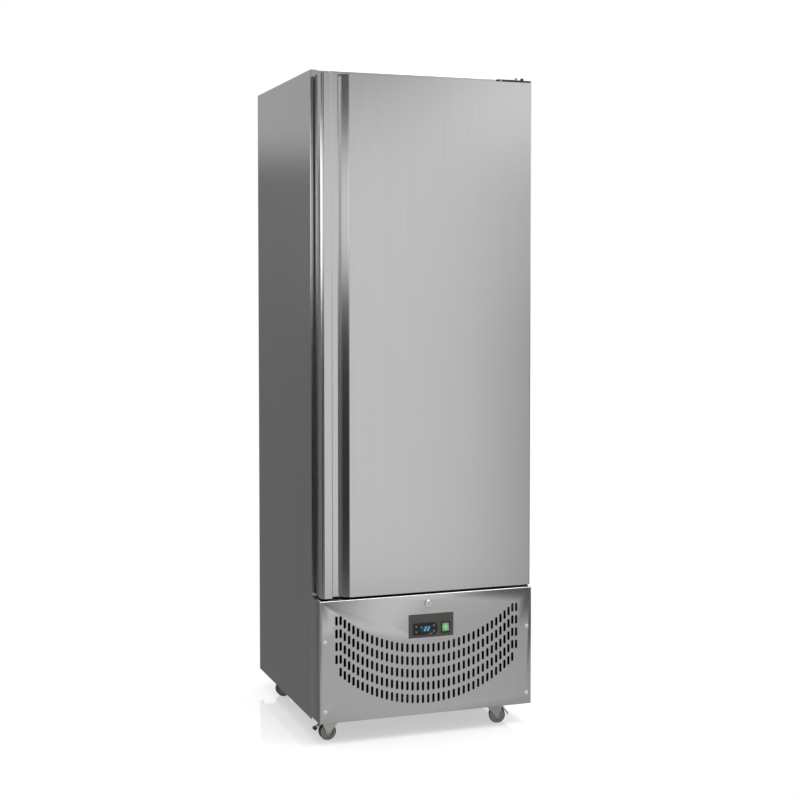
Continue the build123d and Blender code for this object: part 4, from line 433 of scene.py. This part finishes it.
# What the metal reflects. Turns are degrees to the right of straight ahead of the door, lifts degrees above
# the horizon. Each screen: turn from, softness, to, softness; lift from, softness, to, softness; strength
screens = {
    "front": ((10.5, 3.0, 25.1, 0.9), (-12.2, 1.0, 8.8, 5.0), 0.90),
    "front floor": ((10.5, 3.0, 25.1, 0.9), (-90.0, 1.0, -12.2, 1.0), 0.15),
    "front right top": ((22.5, 3.0, 75.0, 10.0), (5.8, 2.0, 60.0, 10.0), 0.85),
    "floor all round": ((-150.0, 4.0, 200.0, 1.0), (-90.0, 1.0, -12.7, 1.5), 0.42),
    "left strip": ((-140.0, 6.0, 4.0, 6.0), (0.3, 0.5, 5.8, 0.5), 0.95),
    "front left strip": ((-50.0, 5.0, -24.0, 3.0), (0.3, 0.5, 6.0, 0.5), 0.60),
    "front left": ((-50.0, 5.0, -27.0, 4.0), (-12.7, 1.5, 90.0, 1.0), 0.24),
    "far left strip": ((-150.0, 3.0, -82.0, 5.0), (-0.2, 1.0, 6.0, 0.5), 1.80),
    "far left": ((-150.0, 3.0, -100.0, 8.0), (-12.7, 1.5, 90.0, 1.0), 0.20),
    "left top": ((-160.0, 4.0, -10.0, 8.0), (10.8, 3.0, 90.0, 1.0), 0.40),
    "behind left": ((-200.0, 1.0, -155.0, 3.0), (-90.0, 1.0, 90.0, 1.0), 0.15),
    "behind left top": ((-200.0, 1.0, -155.0, 3.0), (5.1, 1.0, 90.0, 1.0), 0.32),
    "right near": ((30.0, 4.0, 58.0, 6.0), (-12.7, 1.5, 90.0, 1.0), 0.08),
    "right": ((58.0, 6.0, 125.0, 10.0), (-12.7, 1.5, 90.0, 1.0), 0.25),
    "right strip": ((28.0, 3.0, 125.0, 10.0), (0.0, 0.8, 6.8, 2.0), 0.75),
    "behind right": ((125.0, 10.0, 200.0, 1.0), (-12.7, 1.5, 90.0, 1.0), 0.40),
    "behind right top": ((125.0, 10.0, 200.0, 1.0), (9.0, 3.0, 90.0, 1.0), 0.60),
    "overhead": ((-200.0, 1.0, 200.0, 1.0), (55.0, 20.0, 100.0, 1.0), 0.40),
}
room_grey = 0.03
reflected = room_grey
for across, upwards, brightness in screens.values():
    reflected = reflected + brightness * between(turn, *across) * between(lift, *upwards)
camera_sees = room.value("ShaderNodeLightPath", output="Is Camera Ray")
metal_sees = room.value("ShaderNodeLightPath", output="Is Glossy Ray")
even_light = 0.80
strength = camera_sees + (1.0 - camera_sees) * (even_light + metal_sees * (reflected - even_light))
background = room.tree.nodes["Background"]
room.feed(background, {"Color": (1.0, 1.0, 1.0, 1.0), "Strength": strength})


def soft_lamp(name, place, aim, width, tall, power):
    """A large soft lamp at a place, aimed at a point."""
    data = bpy.data.lights.new(name, "AREA")
    data.shape = "RECTANGLE"
    data.size = width
    data.size_y = tall
    data.energy = power
    lamp = bpy.data.objects.new(name, data)
    lamp.location = place
    lamp.rotation_euler = (Vector(aim) - Vector(place)).to_track_quat("-Z", "Y").to_euler()
    scene.collection.objects.link(lamp)


soft_lamp("overhead_lamp", place=(0.6, -1.0, 4.2), aim=(0.0, 0.0, 0.0), width=3.0, tall=3.0, power=120.0)


# Making of pieces

smooth_below = radians(35.0)


def add_shape(add, **settings):
    """A new primitive, which is then the only thing selected."""
    bpy.ops.object.select_all(action="DESELECT")
    add(**settings)
    return bpy.context.object


def finish_piece(piece, name, body, slot, finish=None):
    """Puts the place of a finished piece into its mesh, names it, gives it its finish and its body."""
    bpy.ops.object.select_all(action="DESELECT")
    bpy.context.view_layer.objects.active = piece
    piece.select_set(True)
    bpy.ops.object.transform_apply(location=True, rotation=True, scale=True)
    bpy.ops.object.shade_smooth_by_angle(angle=smooth_below)
    piece.name = name
    piece.data.name = name
    piece.data.materials.clear()
    piece.data.materials.append(finish or finishes[slot])
    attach(piece, body)
    return piece


def join_pieces(pieces):
    """Several meshes made one."""
    bpy.ops.object.select_all(action="DESELECT")
    for piece in pieces:
        piece.select_set(True)
    bpy.context.view_layer.objects.active = pieces[0]
    bpy.ops.object.join()
    return pieces[0]


def select_edges(piece, chosen):
    """Leaves only the edges of a piece selected whose middle and direction the chosen test takes."""
    for face in piece.data.polygons:
        face.select = False
    for vertex in piece.data.vertices:
        vertex.select = False
    for edge in piece.data.edges:
        first, second = [piece.data.vertices[v].co for v in edge.vertices]
        edge.select = chosen((first + second) / 2, second - first)


def bevel_selected(offset, segments):
    """Bevels the selected edges of the active piece."""
    bpy.ops.object.mode_set(mode="EDIT")
    bpy.ops.mesh.select_mode(type="EDGE")
    bpy.ops.mesh.bevel(offset=offset, segments=segments, affect="EDGES")
    bpy.ops.object.mode_set(mode="OBJECT")


def apply_modifier(piece, kind, settings):
    """Adds a modifier with its settings and applies it."""
    modifier = piece.modifiers.new(kind.lower(), kind)
    for name, setting in settings.items():
        setattr(modifier, name, setting)
    bpy.ops.object.select_all(action="DESELECT")
    piece.select_set(True)
    bpy.context.view_layer.objects.active = piece
    bpy.ops.object.modifier_apply(modifier=modifier.name)


# Lower front panel with its curved rows of round-ended slots

panel_low, panel_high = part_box("front_grille_panel")
panel_sheet = 1.2 * MM
panel_fold = 2.5 * MM
top_return_gap = 4.6 * MM
bottom_lip = 12.0 * MM
slot_wide = 8.0 * MM
slot_tall = 27.0 * MM
slot_arc_radius = 419.0 * MM
slot_step = radians(2.29)
slot_row_pitch = 38.3 * MM
slot_row_count = 5
slot_end_pitch = 12.8 * MM
slot_top_drop = 163.3 * MM
slot_side_margin = 60.0 * MM
slot_sides = 24
drill_sides = 32
cutter_reach = 12.0 * MM


def slot_cutter(place):
    """A round-ended bar through the sheet."""
    cutter = add_shape(bpy.ops.mesh.primitive_cylinder_add, vertices=slot_sides, radius=slot_wide / 2,
                       depth=cutter_reach, rotation=(pi / 2, 0.0, 0.0))
    bpy.ops.object.transform_apply(location=False, rotation=True, scale=False)
    stretch = (slot_tall - slot_wide) / 2
    just_above_middle = slot_wide / 4 / slot_sides
    for vertex in cutter.data.vertices:
        vertex.co.z += stretch if vertex.co.z > just_above_middle else -stretch
    cutter.data.transform(Matrix.Translation(place))
    return cutter


def slot_middles():
    """Where the slots lie: columns on an arc that opens upwards, and a shorter column at each end."""
    last_on_arc = int(degrees(asin((panel_high.x - slot_side_margin) / slot_arc_radius)) / degrees(slot_step))
    for column in range(-last_on_arc - 1, last_on_arc + 2):
        on_arc = max(-last_on_arc, min(last_on_arc, column))
        across = slot_arc_radius * sin(on_arc * slot_step) + (column - on_arc) * slot_end_pitch
        top_row = panel_high.z - slot_top_drop + slot_arc_radius * (1 - cos(on_arc * slot_step))
        for row in range(slot_row_count if column == on_arc else slot_row_count - 1):
            yield Vector((across, panel_low.y, top_row - row * slot_row_pitch))


controls_clearance = 0.3 * MM
controller_body = (70.6 * MM, 28.6 * MM)
switch_body = (25.6 * MM, 31.0 * MM)
lock_barrel_radius = 9.5 * MM
cover_screw_radius = 2.5 * MM
cover_screw_head_radius = 6.5 * MM
cam_width = 12.0 * MM
cam_thickness = 2.5 * MM
cam_room = 2.5 * MM


def on_panel(node):
    """The middle of a node, moved to the front face of the panel."""
    middle = middle_of(node)
    return Vector((middle.x, panel_low.y, middle.z))


def block_cutter(middle, size):
    """A block around a middle."""
    cutter = add_shape(bpy.ops.mesh.primitive_cube_add, size=1.0, location=middle)
    cutter.scale = size
    bpy.ops.object.transform_apply(location=True, rotation=True, scale=True)
    return cutter


def body_cutter(node, width, height):
    """A block through the front sheet where the body of a control passes through it."""
    size = (width + 2 * controls_clearance, cutter_reach, height + 2 * controls_clearance)
    return block_cutter(on_panel(node), size)


def cam_slot_cutter():
    """A slot in the top return that the cam of the lock swings up through."""
    low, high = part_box("lock_cylinder")
    left = -cam_width / 2 - cam_room
    right = high.x + cam_room
    front = high.y - cam_thickness - cam_room
    back = high.y + cam_room
    middle = ((left + right) / 2, (front + back) / 2, panel_high.z)
    return block_cutter(middle, (right - left, back - front, cutter_reach))


def round_cutter(place, radius):
    """A drill through the sheet."""
    cutter = add_shape(bpy.ops.mesh.primitive_cylinder_add, vertices=drill_sides,
                       radius=radius + controls_clearance, depth=cutter_reach, location=place,
                       rotation=(pi / 2, 0.0, 0.0))
    bpy.ops.object.transform_apply(location=True, rotation=True, scale=True)
    return cutter


def opening_cutters():
    """Openings for the controls, the lock and its cam, and holes for the cover screws."""
    yield body_cutter("controller_housing", *controller_body)
    yield body_cutter("switch_frame", *switch_body)
    yield cam_slot_cutter()
    yield round_cutter(on_panel("lock_housing"), lock_barrel_radius)
    low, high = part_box("panel_screws")
    for x in (low.x + cover_screw_head_radius, high.x - cover_screw_head_radius):
        for z in (low.z + cover_screw_head_radius, high.z - cover_screw_head_radius):
            yield round_cutter(Vector((x, panel_low.y, z)), cover_screw_radius)


def grille_panel():
    """Sheet folded back at the sides, the top and the bottom, with the air slots punched in its front."""
    front_middle = on_panel("front_grille_panel")
    panel = add_shape(bpy.ops.mesh.primitive_plane_add, size=1.0, location=front_middle,
                      rotation=(pi / 2, 0.0, 0.0))
    panel.scale = (panel_high.x - panel_low.x, panel_high.z - panel_low.z, 1.0)
    bpy.ops.object.transform_apply(location=True, rotation=True, scale=True)
    side_return = panel_high.y - panel_low.y
    top_return = side_return - top_return_gap
    edge_returns = (
        (lambda middle, along: abs(along.z) > side_return and middle.x < 0, side_return),
        (lambda middle, along: abs(along.z) > side_return and middle.x > 0, side_return),
        (lambda middle, along: abs(along.x) > side_return and middle.z > front_middle.z, top_return),
        (lambda middle, along: abs(along.x) > side_return and middle.z < front_middle.z, bottom_lip),
    )
    in_front = panel_low.y + 0.1 * MM
    for on_edge, reach in edge_returns:
        select_edges(panel, lambda middle, along: on_edge(middle, along) and middle.y < in_front)
        bpy.ops.object.mode_set(mode="EDIT")
        bpy.ops.mesh.select_mode(type="EDGE")
        bpy.ops.mesh.extrude_region_move(TRANSFORM_OT_translate={"value": (0.0, reach, 0.0)})
        bpy.ops.object.mode_set(mode="OBJECT")
    folds = {"width": panel_fold, "segments": 4, "limit_method": "ANGLE", "angle_limit": radians(60.0)}
    apply_modifier(panel, "BEVEL", folds)
    bpy.ops.object.mode_set(mode="EDIT")
    bpy.ops.mesh.select_all(action="SELECT")
    bpy.ops.mesh.normals_make_consistent(inside=False)
    bpy.ops.object.mode_set(mode="OBJECT")
    outward = panel.data.polygons[0].normal.y < 0
    sheet = {"thickness": panel_sheet, "offset": -1.0 if outward else 1.0, "use_even_offset": True}
    apply_modifier(panel, "SOLIDIFY", sheet)
    cutters = join_pieces([slot_cutter(place) for place in slot_middles()] + list(opening_cutters()))
    apply_modifier(panel, "BOOLEAN", {"object": cutters, "operation": "DIFFERENCE", "solver": "EXACT"})
    bpy.data.objects.remove(cutters)
    return panel


panel_piece = finish_piece(grille_panel(), "grille_panel", "root", "stainless_front")
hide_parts("front_grille_panel")


# Small pieces on the control panel

def glowing(name, colour, light, strength):
    """Lit plastic with a slightly uneven glow."""
    lamp = Finish(name, colour, 0.4, Emission_Strength=1.0)
    cloud = lamp.noise((900.0, 900.0, 900.0), detail=2.0)
    level = strength * (0.92 + 0.16 * cloud)
    lamp.feed(lamp.shader, {"Emission Color": lamp.blend(level, (0.0, 0.0, 0.0, 1.0), (*light, 1.0))})
    lamp.bump(cloud, 0.02 * MM, 0.3)
    return lamp.material


pointed_end = 0.46


def flat_bar(length, width, thickness):
    """A thin bar with pointed ends, lying along X and facing the front."""
    bar = add_shape(bpy.ops.mesh.primitive_cube_add, size=1.0)
    bar.scale = (length, thickness, width)
    bpy.ops.object.transform_apply(scale=True)
    for edge in bar.data.edges:
        ends = [bar.data.vertices[v].co for v in edge.vertices]
        edge.select = abs(ends[0].y - ends[1].y) > thickness / 2
    for face in bar.data.polygons:
        face.select = False
    bevel_selected(pointed_end * width, 1)
    return bar


window_low, window_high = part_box("display_window")
window_front = window_low.y
figure_tall = 13.0 * MM
figure_wide = 7.0 * MM
figure_pitch = 10.2 * MM
figure_lean = 0.14
stroke = 1.9 * MM
stroke_gap = 0.35 * MM
print_depth = 0.16 * MM
figures_aside = 4.0 * MM
figures_x = (window_low.x + window_high.x) / 2 + figures_aside
figures_z = (window_low.z + window_high.z) / 2
# Bars of a figure: place across and up in half figures, and whether the bar stands
figure_bars = {
    "top": (0.0, 1.0, False),
    "upper_left": (-1.0, 0.5, True),
    "upper_right": (1.0, 0.5, True),
    "middle": (0.0, 0.0, False),
    "lower_left": (-1.0, -0.5, True),
    "lower_right": (1.0, -0.5, True),
    "bottom": (0.0, -1.0, False),
}
figure_two = ("top", "upper_right", "middle", "lower_left", "bottom")
half_across = (figure_wide - stroke) / 2
half_up = (figure_tall - stroke) / 2
lying_bar = flat_bar(2 * half_across - stroke_gap, stroke, print_depth)
standing_bar = flat_bar(half_up - stroke_gap, stroke, print_depth)
digit_bars = []
for figure in range(2):
    centre_x = figures_x + (figure - 0.5) * figure_pitch
    for bar_name in figure_two:
        across, up, stands = figure_bars[bar_name]
        bar = (standing_bar if stands else lying_bar).copy()
        bar.data = bar.data.copy()
        scene.collection.objects.link(bar)
        turned = Matrix.Rotation(pi / 2, 4, "Y") if stands else Matrix.Identity(4)
        lean = Matrix.Identity(4)
        lean[0][2] = figure_lean
        moved = Matrix.Translation((across * half_across, 0.0, up * half_up))
        bar.data.transform(lean @ moved @ turned)
        bar.location = (centre_x, window_front - print_depth / 2, figures_z)
        digit_bars.append(bar)
for spare in (lying_bar, standing_bar):
    bpy.data.objects.remove(spare)
digit_light = glowing("digit_blue", (0.02, 0.10, 0.16), (0.12, 0.62, 1.0), 1.0)
finish_piece(join_pieces(digit_bars), "display_digits", "root", "display_window", digit_light)


disc_rim = 0.3


def standing_disc(name, body, slot, finish, place, radius, depth, sides=24, turn=0.0):
    """A small disc or prism facing the front, its edges rounded."""
    disc = add_shape(bpy.ops.mesh.primitive_cylinder_add, vertices=sides, radius=radius, depth=depth,
                     location=place, rotation=(pi / 2, turn, 0.0))
    apply_modifier(disc, "BEVEL", {"width": disc_rim * depth, "segments": 2})
    return finish_piece(disc, name, body, slot, finish)


led_inset = 3.4 * MM
led_rise = 5.0 * MM
led_radius = 0.85 * MM
led_place = (window_low.x + led_inset, window_front - print_depth / 2, figures_z + led_rise)
led_light = glowing("lamp_white", (0.6, 0.7, 0.7), (0.75, 1.0, 0.95), 0.9)
standing_disc("running_lamp", "root", "display_window", led_light, led_place, led_radius, print_depth)

mark_print = moulded_plastic("key_print", (0.46, 0.40, 0.40), 0.5)
# Marks of the keys: number of sides, radius, turn
key_marks = {
    "button_up": (3, 2.2 * MM, 0.0),
    "button_down": (3, 2.2 * MM, pi),
    "button_set": (20, 1.7 * MM, 0.0),
    "button_defrost": (4, 2.0 * MM, pi / 4),
}
for key, (sides, radius, turned) in key_marks.items():
    key_low, key_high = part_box(key)
    place = ((key_low.x + key_high.x) / 2, key_low.y - print_depth / 4, (key_low.z + key_high.z) / 2)
    standing_disc(f"{key}_mark", key, "button_grey", mark_print, place, radius, print_depth / 2,
                  sides, turned)


def pale_arc_line(name, centre, radius, width, start, sweep, finish):
    """A thin pale line along an arc on the front of the controller."""
    first = Matrix.Rotation(start, 4, "Y") @ Vector((radius, 0.0, 0.0))
    line = add_shape(bpy.ops.mesh.primitive_circle_add, vertices=8, radius=width / 2, fill_type="NGON",
                     location=Vector(centre) + first, rotation=(0.0, start, 0.0))
    bpy.ops.object.mode_set(mode="EDIT")
    bpy.ops.mesh.select_all(action="SELECT")
    bpy.ops.mesh.spin(steps=14, angle=sweep, center=centre, axis=(0.0, 1.0, 0.0))
    bpy.ops.mesh.select_all(action="SELECT")
    bpy.ops.mesh.normals_make_consistent(inside=False)
    bpy.ops.object.mode_set(mode="OBJECT")
    return finish_piece(line, name, "root", "controller_black", finish)


bezel_low, bezel_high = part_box("controller_housing")
# A thin pale arc on the front of the controller, lighter than the black around it.
arc_line_finish = moulded_plastic("arc_line_finish", (0.80, 0.80, 0.78), 0.4)
arc_width = 0.9 * MM
arc_radius = 16.2 * MM
arc_aside = 13.5 * MM
arc_rise = 1.0 * MM
arc_start = radians(100.0)
arc_sweep = radians(44.0)
arc_middle = (bezel_low.x + bezel_high.x) / 2 + arc_aside
arc_centre = (arc_middle, bezel_low.y + arc_width / 4, figures_z + arc_rise)
pale_arc_line("controller_line", arc_centre, arc_radius, arc_width, arc_start, arc_sweep, arc_line_finish)


# Rubber pad on the tip of the left brake pedal

pad_length = 11.0 * MM
pad_thickness = 5.6 * MM
pad_overhang = 0.8 * MM
pad_end_radius = 0.48 * pad_thickness
pad_edge_radius = 0.6 * MM
pad_past_tip = 1.7 * MM
pedal_drop = radians(36.0)
pedal_tip_radius = 2.0 * MM


def pedal_pad(corner):
    """A rounded sleeve of rubber pushed over the end of a pedal that points to the left."""
    low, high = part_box(f"brake_pedal_{corner}")
    pad = add_shape(bpy.ops.mesh.primitive_cube_add, size=1.0)
    pad.scale = (pad_length, high.y - low.y + 2 * pad_overhang, pad_thickness)
    bpy.ops.object.transform_apply(scale=True)
    select_edges(pad, lambda middle, along: abs(along.y) > pad_length)
    bevel_selected(pad_end_radius, 6)
    apply_modifier(pad, "BEVEL", {"width": pad_edge_radius, "segments": 2, "limit_method": "ANGLE"})
    along_pedal = Vector((cos(pedal_drop), 0.0, sin(pedal_drop)))
    tip = Vector((low.x + pedal_tip_radius, (low.y + high.y) / 2, low.z + pedal_tip_radius))
    pad.location = tip + along_pedal * (pad_length / 2 - pad_past_tip)
    pad.rotation_euler = (0.0, -pedal_drop, 0.0)
    finish_piece(pad, f"pedal_pad_{corner}", f"pedal_{corner}", "mount_rubber")


pedal_pad("front_left")


# Rivets that hold the back panel

rivet_radius = 3.4 * MM
rivet_head = 0.9 * MM
rivet_sides = 14
rivet_dome = 0.75 * rivet_head
rivet_inset = 26.0 * MM
rivets_up = 9
rivets_across = 5


def rivet(place):
    """A low domed head that faces the back."""
    head = add_shape(bpy.ops.mesh.primitive_cylinder_add, vertices=rivet_sides, radius=rivet_radius,
                     depth=rivet_head, location=place, rotation=(pi / 2, 0.0, 0.0))
    select_edges(head, lambda middle, along: abs(along.z) < rivet_head / 2 and middle.z < 0)
    bevel_selected(rivet_dome, 2)
    return head


def rivet_places():
    """Up both edges of the back panel and along its top."""
    low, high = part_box("back_panel")
    back = high.y + rivet_head / 2
    rise = (high.z - low.z - 2 * rivet_inset) / (rivets_up - 1)
    for x in (low.x + rivet_inset, high.x - rivet_inset):
        for count in range(rivets_up):
            yield (x, back, low.z + rivet_inset + count * rise)
    stride = (high.x - low.x - 2 * rivet_inset) / (rivets_across + 1)
    for count in range(1, rivets_across + 1):
        yield (low.x + rivet_inset + count * stride, back, high.z - rivet_inset)


rivets = join_pieces([rivet(place) for place in rivet_places()])
finish_piece(rivets, "back_panel_rivets", "root", "bright_screw")


# Floor

floor_half = 60.0
shadow_ends = (0.02, 0.55)
white_in_shadow = 0.25
floor = add_shape(bpy.ops.mesh.primitive_plane_add, size=2 * floor_half)
floor.name = "floor"
paving = Finish("floor", (0.80, 0.80, 0.80), 0.06, Specular_IOR_Level=0.8)
floor_parts = [paving.value("ShaderNodeSeparateXYZ", inputs={0: paving.place}, output=n) for n in range(2)]
beside = [(part.maths("ABSOLUTE", part) - half).at_least(0.0)
          for part, half in zip(floor_parts, (cad_box[1][0], cad_box[1][1]))]
far = (beside[0] ** 2.0 + beside[1] ** 2.0) ** 0.5
fading = paving.smooth_step(far, *shadow_ends, white_in_shadow, 1.0)
glow = paving.add("ShaderNodeEmission", inputs={"Strength": 0.30})
near_floor = paving.add("ShaderNodeAddShader", inputs={0: paving.shader.outputs[0], 1: glow})
white = paving.add("ShaderNodeEmission", inputs={"Strength": 1.0})
pale = paving.add("ShaderNodeMixShader", inputs={0: fading, 1: near_floor, 2: white})
grey = paving.add("ShaderNodeBsdfDiffuse", inputs={"Color": (0.45, 0.45, 0.45, 1.0)})
clear = paving.add("ShaderNodeBsdfTransparent")
metal_ray = paving.add("ShaderNodeLightPath", output="Is Glossy Ray")
camera_ray = paving.add("ShaderNodeLightPath", output="Is Camera Ray")
unseen = paving.add("ShaderNodeMixShader", inputs={0: metal_ray, 1: grey, 2: clear})
shown = paving.add("ShaderNodeMixShader", inputs={0: camera_ray, 1: unseen, 2: pale})
paving.feed(paving.tree.nodes["Material Output"], {"Surface": shown})
floor.data.materials.append(paving.material)
